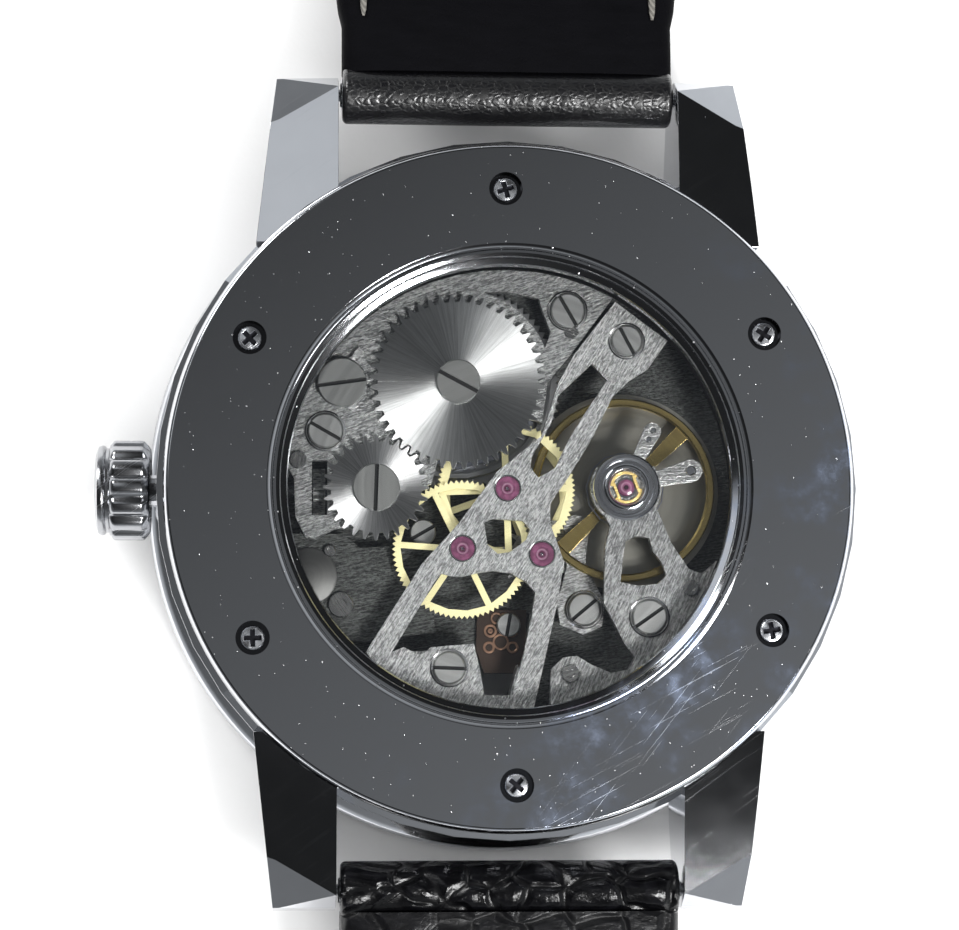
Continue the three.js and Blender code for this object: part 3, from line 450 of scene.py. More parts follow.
def thread(s):
    f = Finish("waxed_thread", specular_ior_level=0.4)
    ply = f.node("ShaderNodeTexWave", {"bands_direction": "DIAGONAL"}, {"Vector": f.place(), "Scale": 1.6},
                 "Fac")
    f.set(base_color=f.mix(ply, scaled(s.thread_tint, 0.6), scaled(s.thread_tint, 1.25)), roughness=0.65 + 0.1 * ply,
          normal=f.bump(ply, 0.04, 0.8))
    return f.material


# ---------------------------------------------------------------- shapes, worked in millimetres
def circle(at, radius, steps=48, start=0.0, end=360.0):
    """Points round an arc; a full turn leaves out its last, repeated point."""
    full = abs(end - start) >= 360
    count = steps if full else steps + 1
    return [(at[0] + radius * math.cos(math.radians(start + (end - start) * i / steps)),
             at[1] + radius * math.sin(math.radians(start + (end - start) * i / steps))) for i in range(count)]


def lathe(outline, at=CENTRE, steps=96):
    """Turns a (radius, height) outline about an upright axis. It may start and end on the axis."""
    bm = bmesh.new()
    verts = [bm.verts.new((r, 0, h)) for r, h in outline]
    on_axis = outline[0][0] == 0 and outline[-1][0] == 0
    pairs = list(zip(verts, verts[1:] if on_axis else verts[1:] + verts[:1]))
    edges = [bm.edges.new(pair) for pair in pairs]
    bmesh.ops.spin(bm, geom=verts + edges, cent=(0, 0, 0), axis=(0, 0, 1), angle=math.tau, steps=steps,
                   use_merge=True)
    bmesh.ops.remove_doubles(bm, verts=bm.verts, dist=0.0005)
    bmesh.ops.recalc_face_normals(bm, faces=bm.faces)
    bmesh.ops.translate(bm, vec=(*at, 0), verts=bm.verts)
    return bm


def slab(outline, low, high, holes=(), bevel=0.0, segments=2):
    """A flat plate with holes, its upper rims bevelled."""
    bm = bmesh.new()
    for loop in (outline, *holes):
        verts = [bm.verts.new((x, y, low)) for x, y in loop]
        for pair in zip(verts, verts[1:] + verts[:1]):
            bm.edges.new(pair)
    bmesh.ops.triangle_fill(bm, use_beauty=True, use_dissolve=False, edges=bm.edges[:])
    lifted = bmesh.ops.extrude_face_region(bm, geom=bm.faces[:])["geom"]
    raised = [v for v in lifted if isinstance(v, bmesh.types.BMVert)]
    bmesh.ops.translate(bm, vec=(0, 0, high - low), verts=raised)
    bmesh.ops.recalc_face_normals(bm, faces=bm.faces)
    bmesh.ops.dissolve_limit(bm, angle_limit=math.radians(1), verts=bm.verts, edges=bm.edges)
    if bevel:
        rims = [e for e in bm.edges if e.calc_face_angle(0) > 1.0 and min(v.co.z for v in e.verts) > high - 1e-4]
        bmesh.ops.bevel(bm, geom=rims, offset=bevel, offset_type="OFFSET", segments=segments, profile=0.5,
                        affect="EDGES", clamp_overlap=True, material=-1)
    return bm


def from_frame(node, bevel=0.05, segments=2, sharp=35.0, reshape=None):
    """A merged copy of a frame node, in millimetres, reshaped if asked, with its sharp edges broken."""
    bm = bmesh.new()
    bm.from_mesh(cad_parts[node].data)
    bmesh.ops.scale(bm, vec=(1 / MM,) * 3, verts=bm.verts)
    bmesh.ops.remove_doubles(bm, verts=bm.verts, dist=0.003)
    bmesh.ops.dissolve_degenerate(bm, dist=0.002, edges=bm.edges)
    bmesh.ops.dissolve_limit(bm, angle_limit=math.radians(1.5), verts=bm.verts, edges=bm.edges)
    bmesh.ops.recalc_face_normals(bm, faces=bm.faces)
    if reshape:
        for vert in bm.verts:
            reshape(vert.co)
    if bevel:
        edges = [e for e in bm.edges if e.is_manifold and e.calc_face_angle(0) > math.radians(sharp)]
        bmesh.ops.bevel(bm, geom=edges, offset=bevel, offset_type="OFFSET", segments=segments, profile=0.5,
                        affect="EDGES", clamp_overlap=True, material=-1)
    return bm


def capsule(a, radius_a, b, radius_b, steps=14):
    """A bar with round ends, wider at one end than the other."""
    aim = math.degrees(math.atan2(b[1] - a[1], b[0] - a[0]))
    return circle(b, radius_b, steps, aim - 90, aim + 90) + circle(a, radius_a, steps, aim + 90, aim + 270)


def joined(*parts):
    """One bmesh out of several, which are freed."""
    whole = bmesh.new()
    for bm in parts:
        scrap = bpy.data.meshes.new("scrap")
        bm.to_mesh(scrap)
        whole.from_mesh(scrap)
        bpy.data.meshes.remove(scrap)
        bm.free()
    return whole


def moved(bm, matrix):
    bmesh.ops.transform(bm, matrix=matrix, verts=bm.verts)
    return bm


def lying_on_x(bm, at):
    """Turns a shape made about +Z so that its axis runs along -X, and moves it to a point."""
    return moved(bm, Matrix.Translation(at) @ Matrix.Rotation(math.radians(-90), 4, "Y"))


def slotted_head(at, radius, low, high, turn=0.0, slot=0.16, depth=0.14, steps=40):
    """A flat screw head with a rim bevel and a real slot, and apart from it the floor under the slot, for a dark
    finish of painted shade.
    """
    floor = high - depth
    half = lathe([(0, floor), (radius, floor), (radius, high - 0.07), (radius - 0.07, high), (0, high)], steps=steps)
    bmesh.ops.bisect_plane(half, geom=half.verts[:] + half.edges[:] + half.faces[:], plane_co=(0, slot / 2, 0),
                           plane_no=(0, 1, 0), clear_inner=True)
    rim = [e for e in half.edges if e.is_boundary]
    bmesh.ops.edgenet_fill(half, edges=rim)
    other = half.copy()
    moved(other, Matrix.Rotation(math.pi, 4, "Z"))
    base = lathe([(0, low), (radius - 0.01, low), (radius - 0.01, floor), (0, floor)], steps=steps)
    place = Matrix.Translation((*at, 0)) @ Matrix.Rotation(math.radians(turn), 4, "Z")
    return moved(joined(half, other), place), moved(base, place)


def add_piece(name, bm, finish, body, replaces=(), smooth=32.0, recalc=False):
    """Makes an object from a bmesh in millimetres and hands it to the frame."""
    bmesh.ops.scale(bm, vec=(MM,) * 3, verts=bm.verts)
    if recalc:
        bmesh.ops.recalc_face_normals(bm, faces=bm.faces)
    for face in bm.faces:
        face.smooth = True
    for edge in bm.edges:
        edge.smooth = edge.calc_face_angle(0) < math.radians(smooth)
    mesh = bpy.data.meshes.new(name)
    bm.to_mesh(mesh)
    bm.free()
    piece = bpy.data.objects.new(name, mesh)
    bpy.context.scene.collection.objects.link(piece)
    piece.modifiers.new("flat faces stay flat", "WEIGHTED_NORMAL").keep_sharp = True
    mesh.materials.append(finish)
    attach(piece, body)
    if replaces:
        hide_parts(*replaces)
    return piece


def repaint(nodes, finish):
    """Gives frame nodes a finish in place of their plain colour."""
    for name in nodes:
        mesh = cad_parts[name].data
        mesh.materials.clear()
        mesh.materials.append(finish)


def settings():
    scene = bpy.context.scene
    return scene.watch_case, scene.watch_movement, scene.watch_strap, scene.watch_stage


class Step:
    """What all the operators share."""
    bl_options = {"REGISTER", "UNDO"}

    def execute(self, context):
        self.make(*settings())
        return {"FINISHED"}


# ---------------------------------------------------------------- case
class WATCH_OT_case_back(Step, bpy.types.Operator):
    """Case back ring with its polished flat, counterbores and stepped window rim"""
    bl_idname = "watch.case_back"
    bl_label = "Case back"

    def make(self, case, movement, strap, stage):
        top, steps = BACK_Z, 192
        inner, outer, window = case.ring_inner / MM, case.ring_outer / MM, case.window_radius / MM
        bore = case.counterbore / MM
        turn = Matrix.Rotation(math.radians(BACK_TURN), 4, "Z")
        # The wall runs from the flat's inner edge over the window rim and under, and out to the flat's outer edge.
        wall = [(inner + 0.04, top), (inner, top), (inner - 0.16, top - 0.075), (inner - 0.24, top - 0.15),
                (inner - 0.32, top - 0.15), (inner - 0.40, top - 0.09), (inner - 0.54, top - 0.09),
                (inner - 0.74, top - 0.18), (inner - 0.80, top - 0.26), (inner - 0.82, top - 0.46),
                (inner - 0.96, top - 0.50), (window + 0.06, top - 0.56), (window, top - 0.66), (window, 9.92),
                (15.8, 9.92), (15.8, 9.35),
                (19.6, 9.35), (20.0, 9.6), (20.08, 10.4), (20.04, 10.8), (outer + 0.16, top - 0.12),
                (outer + 0.05, top - 0.02), (outer, top), (outer - 0.04, top)]
        bm = bmesh.new()
        verts = [bm.verts.new((r, 0, z)) for r, z in wall]
        edges = [bm.edges.new(pair) for pair in zip(verts, verts[1:])]
        bmesh.ops.spin(bm, geom=verts + edges, cent=(0, 0, 0), axis=(0, 0, 1), angle=math.tau, steps=steps,
                       use_merge=True)
        bmesh.ops.remove_doubles(bm, verts=bm.verts, dist=0.0005)
        rims = [e for e in bm.edges if e.is_boundary]
        bores = []
        for i in range(6):
            angle = math.radians(60 * i + 30)
            centre = Vector((SCREW_CIRCLE * math.cos(angle), SCREW_CIRCLE * math.sin(angle), top))
            ring = bmesh.ops.create_circle(bm, cap_ends=False, radius=bore, segments=40,
                                           matrix=Matrix.Translation(centre))["verts"]
            bores += list({e for v in ring for e in v.link_edges})
        bmesh.ops.triangle_fill(bm, use_beauty=True, use_dissolve=False, edges=rims + bores, normal=(0, 0, 1))
        # Each counterbore: a broken edge, a wall and a floor.
        sunk = bmesh.ops.extrude_edge_only(bm, edges=bores)["geom"]
        loop = [v for v in sunk if isinstance(v, bmesh.types.BMVert)]
        bmesh.ops.translate(bm, vec=(0, 0, -0.55), verts=loop)
        bottom = [e for e in bm.edges if e.is_boundary]
        bmesh.ops.edgeloop_fill(bm, edges=bottom)
        bmesh.ops.recalc_face_normals(bm, faces=bm.faces)
        moved(bm, turn)
        add_piece("case_back_ring", bm, polished_back(case), "case", ["case_back"], 24)
        glass = lathe([(0, 9.95), (13.3, 9.95), (13.3, 10.5), (13.1, 10.62), (12.8, 10.64), (0, 10.64)], steps=96)
        add_piece("back_window", glass, clear_glass("window_glass", 0.09), "case", ["back_glass"])
        repaint(["back_gasket", "crystal_gasket", "crown_gasket"], matt("gasket_rubber", (0.02, 0.02, 0.02)))


class WATCH_OT_back_screws(Step, bpy.types.Operator):
    """Six cross-recessed screws of the case back"""
    bl_idname = "watch.back_screws"
    bl_label = "Case back screws"

    def make(self, case, movement, strap, stage):
        finish = polished_case(case, "screw_steel", 0.24, 1.3)
        # The near-black disc under each head is painted shade in the counterbore.
        pit_shade_steel = matt("screw_pit_shade", (0.03, 0.03, 0.035), 0.35, metallic=1.0)
        head, top = case.screw_head / MM, BACK_Z - 0.16
        arm, half = head * 0.70, head * 0.19
        cross = [(half, half), (arm, half), (arm, -half), (half, -half), (half, -arm), (-half, -arm),
                 (-half, -half), (-arm, -half), (-arm, half), (-half, half), (-half, arm), (half, arm)]
        for i in range(6):
            cap = slab(circle(CENTRE, head, 36), top - 0.38, top, [cross], 0.10, 3)
            for vert in cap.verts:
                if vert.co.z > top - 0.2:
                    vert.co.z -= 0.16 * (math.hypot(vert.co.x, vert.co.y) / head) ** 2
            pit = lathe([(0, top - 0.45), (head, top - 0.45), (head, top - 0.36), (0, top - 0.30)], steps=36)
            shank = lathe([(0, top - 2.0), (0.45, top - 2.0), (0.45, top - 0.46), (0, top - 0.46)], steps=20)
            angle = math.radians(90 - 60 * i + BACK_TURN)
            place = (Matrix.Translation((SCREW_CIRCLE * math.cos(angle), SCREW_CIRCLE * math.sin(angle), 0))
                     @ Matrix.Rotation(math.radians(17 + 41 * i), 4, "Z"))
            add_piece(f"back_screw_head_{i + 1}", moved(joined(cap, shank), place), finish, "case",
                      [f"back_screw_{i + 1}"])
            add_piece(f"back_screw_pit_{i + 1}", moved(pit, place), pit_shade_steel, "case", ())


class WATCH_OT_case_body(Step, bpy.types.Operator):
    """Middle case with its lugs, bezel, crystal and spring bars"""
    bl_idname = "watch.case_body"
    bl_label = "Case body"

    def make(self, case, movement, strap, stage):
        steel = polished_case(case)

        def lean(co):
            """The back of a lug runs straight to the ridge of its end facet and leans outwards."""
            if abs(co.y) > 23.4 and co.z > 9.6:
                co.z = LUG_RIDGE_Z
            if abs(co.y) > 14 and co.z > 8.4 and abs(co.x) > LUG_INNER:
                co.z -= case.lug_lean * (abs(co.x) - LUG_INNER)

        add_piece("middle_case", from_frame("mid_case", 0.07, 2, 28, lean), steel, "case", ["mid_case"],
                  10)
        rim = [(17.95, 0.42), (20.2, 0.42), (20.8, 0.62), (21.14, 1.1), (21.2, 1.7), (21.2, 2.3), (21.0, 2.7),
               (20.3, 3.16), (18.4, 3.18), (17.95, 3.1)]
        add_piece("bezel_ring", lathe(rim, steps=192), steel, "case", ["bezel"])
        dome = [(0, 0.0), (16.9, 0.0), (17.35, 0.12), (17.52, 0.4), (17.52, 1.55), (0, 1.58)]
        add_piece("front_crystal", lathe(dome, steps=128), clear_glass("crystal_glass", 0.10), "case",
                  ["crystal"])
        bars = polished_case(case, "spring_bar_steel", 0.2, 0.9)
        for name, side in (("12", 1), ("6", -1)):
            pin = lathe([(0, 0), (0.32, 0), (0.36, 0.06), (0.36, 0.7), (0.68, 0.72), (0.75, 0.8), (0.75, 20.4),
                         (0.68, 20.48), (0.36, 20.5), (0.36, 21.14), (0.32, 21.2), (0, 21.2)], steps=32)
            lying_on_x(pin, (10.6, side * BAR_Y, BAR_Z))
            add_piece(f"lug_bar_{name}", pin, bars, "case", [f"spring_bar_{name}"])


class WATCH_OT_crown(Step, bpy.types.Operator):
    """Fluted crown with its tube, stem and winding pinion"""
    bl_idname = "watch.crown"
    bl_label = "Crown"

    def make(self, case, movement, strap, stage):
        steel = polished_case(case, "crown_steel", 0.2, 0.6)
        profile = [(0, 0.9), (1.9, 0.9), (1.9, 0.05), (2.45, 0.05), (2.62, 0.15),
                   (2.92, 0.42), (2.95, 0.55), (2.95, 1.3), (2.95, 2.05), (2.92, 2.2), (2.66, 2.42), (2.5, 2.46),
                   (2.5, 2.62), (2.62, 2.72), (2.66, 2.86), (2.58, 3.08), (2.2, 3.22), (1.2, 3.3), (0, 3.3)]
        bm = lathe(profile, steps=case.flutes * 12)
        for vert in bm.verts:
            radius = math.hypot(vert.co.x, vert.co.y)
            if radius > 2.55 and vert.co.z < 2.43:
                wave = math.cos(case.flutes * math.atan2(vert.co.y, vert.co.x))
                keep = 1 - 0.085 * (0.5 - 0.5 * wave) ** 2.5 * min(1, (radius - 2.55) / 0.3)
                vert.co.x, vert.co.y = vert.co.x * keep, vert.co.y * keep
        lying_on_x(bm, (CROWN_X, 0, STEM_Z))
        add_piece("fluted_crown", bm, steel, "crown", ["crown"], 40)
        stem = lathe([(0, 0), (0.5, 0), (0.55, 0.06), (0.55, 14.5), (0.45, 14.6), (0, 14.6)], steps=24)
        lying_on_x(stem, (-8.4, 0, STEM_Z))
        add_piece("stem", stem, steel, "crown", ["winding_stem"])
        repaint(["case_tube"], polished_case(case, "tube_steel", 0.2, 0.8))
        keyless = frosted_steel("keyless_steel", movement.bridge_tint, 0, 0.1)
        for node in ("winding_pinion", "clutch_wheel"):
            add_piece(node + "_cut", from_frame(node, 0.03, 1, 30), keyless, "winding_works", [node],
                      25)


# ---------------------------------------------------------------- movement
class WATCH_OT_plates(Step, bpy.types.Operator):
    """Main plate, bridges, cock and regulator"""
    bl_idname = "watch.plates"
    bl_label = "Plates and bridges"

    def make(self, case, movement, strap, stage):
        edge, tint = movement.edge_break / MM, movement.bridge_tint
        made = [
            ("main_plate", frosted_steel("main_plate_steel", movement.plate_tint, 10, 0.2, 0.42), 0.05),
            ("barrel_bridge", frosted_steel("barrel_bridge_steel", tint, 20, 0.45, 0.36), edge),
            ("train_bridge", frosted_steel("train_bridge_steel", tint, 58, 0.34, 0.34), edge),
            ("balance_cock", frosted_steel("balance_cock_steel", scaled(tint, 0.8), 66, 0.30, 0.36), edge),
            ("pallet_bridge", frosted_steel("pallet_bridge_steel", scaled(tint, 0.75), 15, 0.2, 0.36), 0.05)]
        for node, finish, width in made:
            add_piece(node + "_finished", from_frame(node, width, 2), finish, "case", [node],
                      25)
        index = frosted_steel("regulator_steel", scaled(tint, 0.9), 0, 0.08, 0.24)
        arm = slab(capsule((8.3, 0.42), 0.42, (10.75, 1.05), 0.68), 8.78, 9.05,
                   [circle((10.75, 1.05), 0.3, 20)], 0.04)
        stud = slab(capsule((7.65, 1.75), 0.36, (8.5, 3.35), 0.52), 8.78, 9.05,
                    [circle((8.53, 3.42), 0.17, 16), circle((8.26, 2.86), 0.17, 16)], 0.04)
        disc = slab(circle(BALANCE, 1.9, 64), 8.78, 9.05, [circle(BALANCE, 1.05, 48)], 0.03)
        add_piece("regulator_index", joined(arm, stud, disc), index, "regulator", ["regulator"], 25)
        repaint(["movement_ring"], matt("ring_plastic", (0.02, 0.02, 0.022), 0.5))
        repaint(["dial_ring"], matt("dial_lacquer", (0.03, 0.035, 0.07), 0.3))


class WATCH_OT_wheels(Step, bpy.types.Operator):
    """Barrel, keyless wheels and the going train"""
    bl_idname = "watch.wheels"
    bl_label = "Wheels"

    def make(self, case, movement, strap, stage):
        tooth, tint = movement.tooth_break / MM, movement.bridge_tint
        brass = wheel_brass("train_brass", movement.brass_tint)
        steel = frosted_steel("escapement_steel", tint, 0, 0.1, 0.25)
        wheels = (
            ("ratchet_wheel", tooth, "ratchet", sunray_steel("ratchet_sunray", scaled(tint, 1.2), BARREL)),
            ("crown_wheel", tooth, "crown_wheel", sunray_steel("crown_wheel_sunray", scaled(tint, 1.35), CROWN_WHEEL)),
            ("barrel", tooth, "barrel", turned_metal("barrel_steel", scaled(tint, 0.7), BARREL)),
            ("barrel_arbor", 0.03, "ratchet", turned_metal("arbor_steel", tint, BARREL)),
            ("centre_wheel", tooth, "minutes", brass), ("third_wheel", tooth, "third", brass),
            ("fourth_wheel", tooth, "seconds", brass), ("minute_wheel", tooth, "minute_wheel", brass),
            ("escape_wheel", 0.02, "escape", steel), ("pallet_fork", 0.02, "pallet_fork", steel))
        names = {"barrel": "barrel_drum", "barrel_arbor": "barrel_shaft"}
        for node, bevel, body, finish in wheels:
            add_piece(names.get(node, node + "_cut"), from_frame(node, bevel, 1), finish, body, [node],
                      25)
        add_piece("click_cut", from_frame("click", 0.04, 2), steel, "click", ["click"], 25)
        spring = matt("spring_steel", (0.32, 0.34, 0.40), 0.25, 0.1, 1.0)
        repaint(["mainspring", "hairspring"], spring)
        hands = polished_case(case, "hand_steel", 0.15, 1.2)
        for node, body in (("minute_hand", "minutes"), ("hour_hand", "hours"), ("seconds_hand", "seconds")):
            add_piece(node + "_cut", from_frame(node, 0.03, 1), hands, body, [node], 25)


class WATCH_OT_balance(Step, bpy.types.Operator):
    """Gilt balance, its shock setting and studs"""
    bl_idname = "watch.balance"
    bl_label = "Balance"

    def make(self, case, movement, strap, stage):
        gilt = turned_metal("balance_gilt", movement.gilt_tint, BALANCE, 0.16, 0.2, 0.002)
        rim = lathe([(4.98, 6.9), (5.4, 6.9), (5.45, 6.95), (5.45, 7.22), (5.36, 7.3), (5.08, 7.3), (4.98, 7.22)],
                    BALANCE, 128)
        arms = slab([(-5.1, -0.5), (-2.2, -0.34), (-0.8, -0.42), (0.8, -0.42), (2.2, -0.34), (5.1, -0.5),
                     (5.1, 0.5), (2.2, 0.34), (0.8, 0.42), (-0.8, 0.42), (-2.2, 0.34), (-5.1, 0.5)], 6.98, 7.12,
                    bevel=0.03)
        moved(arms, Matrix.Translation((*BALANCE, 0)) @ Matrix.Rotation(math.radians(44), 4, "Z"))
        hub = lathe([(0, 6.9), (0.75, 6.9), (0.75, 7.2), (0.3, 7.25), (0.25, 7.9), (0.1, 7.95), (0.1, 8.35),
                     (0, 8.35)], BALANCE, 32)
        staff = lathe([(0, 6.08), (0.1, 6.08), (0.12, 6.6), (0.6, 6.62), (0.6, 6.72), (0.25, 6.75), (0.25, 6.95),
                       (0, 6.95)], BALANCE, 24)
        add_piece("gilt_balance", joined(rim, arms, hub, staff), gilt, "balance", ["balance_wheel"])
        well = lathe([(1.4, 6.03), (5.85, 6.03), (5.85, 6.06), (1.4, 6.06)], BALANCE, 128)
        dull = turned_metal("well_steel", (0.42, 0.41, 0.36), BALANCE, 0.3, 0.5, 0.02)
        add_piece("balance_well", well, dull, "case", ())
        # Cap ring of the shock setting: two polished rims with a dark groove between them.
        cap = lathe([(1.0, 8.76), (1.0, 9.06), (1.08, 9.15), (1.2, 9.18), (1.32, 9.15), (1.4, 9.07), (1.56, 9.065),
                     (1.62, 9.12), (1.72, 9.2), (1.84, 9.2), (1.94, 9.12), (1.98, 9.0), (1.98, 8.76)], BALANCE, 96)
        bottom = lathe([(0, 8.60), (0.9, 8.60), (0.9, 8.70), (0, 8.70)], BALANCE, 48)
        add_piece("shock_setting", joined(cap, bottom), polished_case(case, "setting_steel", 0.12, 1.35), "regulator",
                  ())
        add_piece("shock_stone", lathe([(0, 8.71), (0.42, 8.71), (0.5, 8.76), (0.46, 8.84), (0.3, 8.9), (0, 8.92)],
                                       BALANCE, 40), ruby(movement, "shock_ruby", BALANCE), "case",
                  ["balance_shock_jewel"])
        spring = slab(circle(CENTRE, 0.95, 32, 25, 155) + circle(CENTRE, 0.78, 32, 155, 25), 8.86, 8.9, bevel=0.01)
        lower = slab(circle(CENTRE, 0.95, 32, 205, 335) + circle(CENTRE, 0.78, 32, 335, 205), 8.86, 8.9, bevel=0.01)
        bars = [slab([(x - 0.08, -0.5), (x + 0.08, -0.5), (x + 0.08, 0.5), (x - 0.08, 0.5)], 8.92, 8.96, bevel=0.01)
                for x in (-0.62, 0.62)]
        lyre = moved(joined(spring, lower, *bars), Matrix.Translation((*BALANCE, 0)) @ Matrix.Rotation(0.35, 4, "Z"))
        add_piece("lyre_spring", lyre, wheel_brass("lyre_gilt", movement.gilt_tint, 0.2), "regulator", ())
        pins = [lathe([(0, 8.8), (r, 8.8), (r, 9.04), (r * 0.8, 9.09), (0, 9.09)], at, 24)
                for at, r in (((8.53, 3.42), 0.15), ((8.26, 2.86), 0.15), ((10.75, 1.05), 0.26))]
        add_piece("stud_pins", joined(*pins), polished_case(case, "pin_steel", 0.15, 1.4), "regulator", ())


class WATCH_OT_jewels(Step, bpy.types.Operator):
    """Ruby bearings of the train, pressed into the train bridge"""
    bl_idname = "watch.jewels"
    bl_label = "Jewels"

    def make(self, case, movement, strap, stage):
        for name, at in (("centre", CENTRE), ("third", THIRD), ("escape", ESCAPE)):
            stone = lathe([(0.14, 8.1), (0.70, 8.1), (0.72, 8.14), (0.72, 8.46), (0.67, 8.52), (0.42, 8.53),
                           (0.34, 8.45), (0.2, 8.38), (0.14, 8.3)], at, 48)
            add_piece(f"ruby_{name}", stone, ruby(movement, f"ruby_{name}", at), "case", [f"jewel_{name}"])
            rim = lathe([(0.72, 8.5), (0.8, 8.5), (0.8, 8.56), (0.76, 8.58), (0.72, 8.55)], at, 48)
            add_piece(f"jewel_rim_{name}", rim, turned_metal(f"jewel_rim_{name}", movement.bridge_tint, at, 0.15),
                      "case", ())
        pivots = [lathe([(0, 8.2), (0.12, 8.2), (0.12, 8.4), (0.08, 8.46), (0, 8.48)], at, 20)
                  for at in (CENTRE, THIRD, ESCAPE)]
        add_piece("pivot_ends", joined(*pivots), polished_case(case, "pivot_steel", 0.1, 1.3), "case", ())


class WATCH_OT_movement_screws(Step, bpy.types.Operator):
    """Slotted screws and steady pins of the movement"""
    bl_idname = "watch.movement_screws"
    bl_label = "Movement screws"

    def make(self, case, movement, strap, stage):
        flat_steel = turned_metal("screw_flat_steel", (0.62, 0.63, 0.61), CENTRE, 0.28, 0.3, 0.002)
        # The slot floors and the shanks are painted near black: painted shade in the slots.
        painted_slot_shade = matt("painted_slot_shade", (0.05, 0.05, 0.05), 0.4, metallic=1.0)
        large = (("ratchet_screw", BARREL, 1.3, 8.72, 8.98, -28, 0.8, 8.32, "ratchet"),
                 ("crown_wheel_screw", CROWN_WHEEL, 1.38, 8.72, 8.96, 88, 0.55, 7.7, "case"),
                 ("click_screw", (-9.73, 6.16), 1.45, 8.53, 8.8, 8, 0.5, 8.2, "case"))
        for node, at, radius, low, high, turn, shaft, foot, body in large:
            head, floor = slotted_head(at, radius, low, high, turn, 0.24, 0.2)
            shank = lathe([(0, foot), (shaft, foot), (shaft, low + 0.02), (0, low + 0.02)], at, 32)
            add_piece(node + "_head", head, flat_steel, body, [node])
            add_piece(node + "_shank", joined(floor, shank), painted_slot_shade, body, ())
        heads = [((-10.69, 3.34), 1.0, 8.26, 8.5, 150), ((3.59, 10.57), 1.0, 8.26, 8.5, 120),
                 ((7.06, 8.75), 0.9, 8.56, 8.78, 118), ((-3.45, -10.52), 0.93, 8.56, 8.78, 178),
                 ((8.26, -7.55), 1.0, 8.76, 8.98, 35), ((4.64, -7.02), 0.95, 6.82, 7.05, 40),
                 ((-4.9, -2.5), 0.77, 7.02, 7.2, 30), ((0.2, -7.9), 0.7, 6.3, 6.5, 80)]
        tops, floors = zip(*(slotted_head(at, radius, low, high, turn, 0.22, 0.17)
                             for at, radius, low, high, turn in heads))
        add_piece("bridge_screw_slot_shade", joined(*floors), painted_slot_shade, "case", ())
        bright = turned_metal("bridge_screw_steel", (0.80, 0.81, 0.79), CENTRE, 0.28, 0.3, 0.002)
        add_piece("bridge_screws", joined(*tops), bright, "case", ())
        sinks = [lathe([(radius + 0.02, low - 0.02), (radius + 0.2, low - 0.02), (radius + 0.2, low + 0.05),
                        (radius + 0.12, low + 0.1), (radius + 0.02, low + 0.03)], at, 40)
                 for at, radius, low, high, turn in heads[:6]]
        add_piece("screw_sinks", joined(*sinks), turned_metal("sink_steel", (0.75, 0.75, 0.75), CENTRE, 0.16),
                  "case", ())
        pins = [((-12.27, 1.65), 0.53, 8.26, 8.42), ((3.8, 9.28), 0.4, 8.26, 8.4), ((10.72, -5.82), 0.48, 8.76, 8.9),
                ((3.6, -10.85), 0.53, 8.76, 8.92), ((-9.72, -6.77), 0.75, 7.02, 7.2),
                ((-10.38, -3.6), 0.35, 7.02, 7.3)]
        steady = [lathe([(0, low), (r, low), (r, high - 0.05), (r - 0.06, high), (r * 0.5, high),
                         (r * 0.42, high - 0.08), (0, high - 0.08)], at, 32) for at, r, low, high in pins]
        add_piece("steady_pins", joined(*steady), turned_metal("pin_flat_steel", (0.5, 0.5, 0.49), CENTRE, 0.2),
                  "case", ())
        disc = lathe([(0, 7.02), (1.65, 7.02), (1.65, 7.1), (1.55, 7.16), (0, 7.16)], (-11.6, -5.07), 48)
        dark = turned_metal("setting_disc_steel", (0.17, 0.17, 0.165), (-11.6, -5.07), 0.42)
        add_piece("setting_disc", disc, dark, "case", ())
        bronze = slab([(-1.65, -7.0), (1.3, -7.0), (1.2, -9.7), (0.8, -10.75), (-1.25, -10.75), (-1.75, -9.4)],
                      6.06, 6.28, bevel=0.05)
        add_piece("scroll_plate", bronze, scroll_plate("scroll_bronze"), "case", ())


# ---------------------------------------------------------------- strap
def strap_section(d, length_, rest, tip):
    """(middle height, thickness, half width) of a strap half at a distance d from its bar."""
    near, far = min(d / 6, 1), min(max((d - 8) / (length_ - 30), 0), 1)
    thick = 2.9 + 0.9 * near - 1.7 * far
    t = min(max((d - 1) / 26, 0), 1)
    flat = rest + thick / 2 + 0.05
    middle = BAR_Z + (flat - BAR_Z) * t * t * (3 - 2 * t)
    taper = 1.3 * min(max((d - 12) / (length_ - 30), 0), 1)
    half = 9.8 + 0.35 * min(max((d - 4.4) / 1.2, 0), 1) - taper
    if tip:
        into = max(tip - (length_ - d), 0) / tip
        half *= math.sqrt(max(1 - 0.97 * into ** 2, 0.02))
        thick *= 1 - 0.35 * into ** 3
    return middle, thick, half


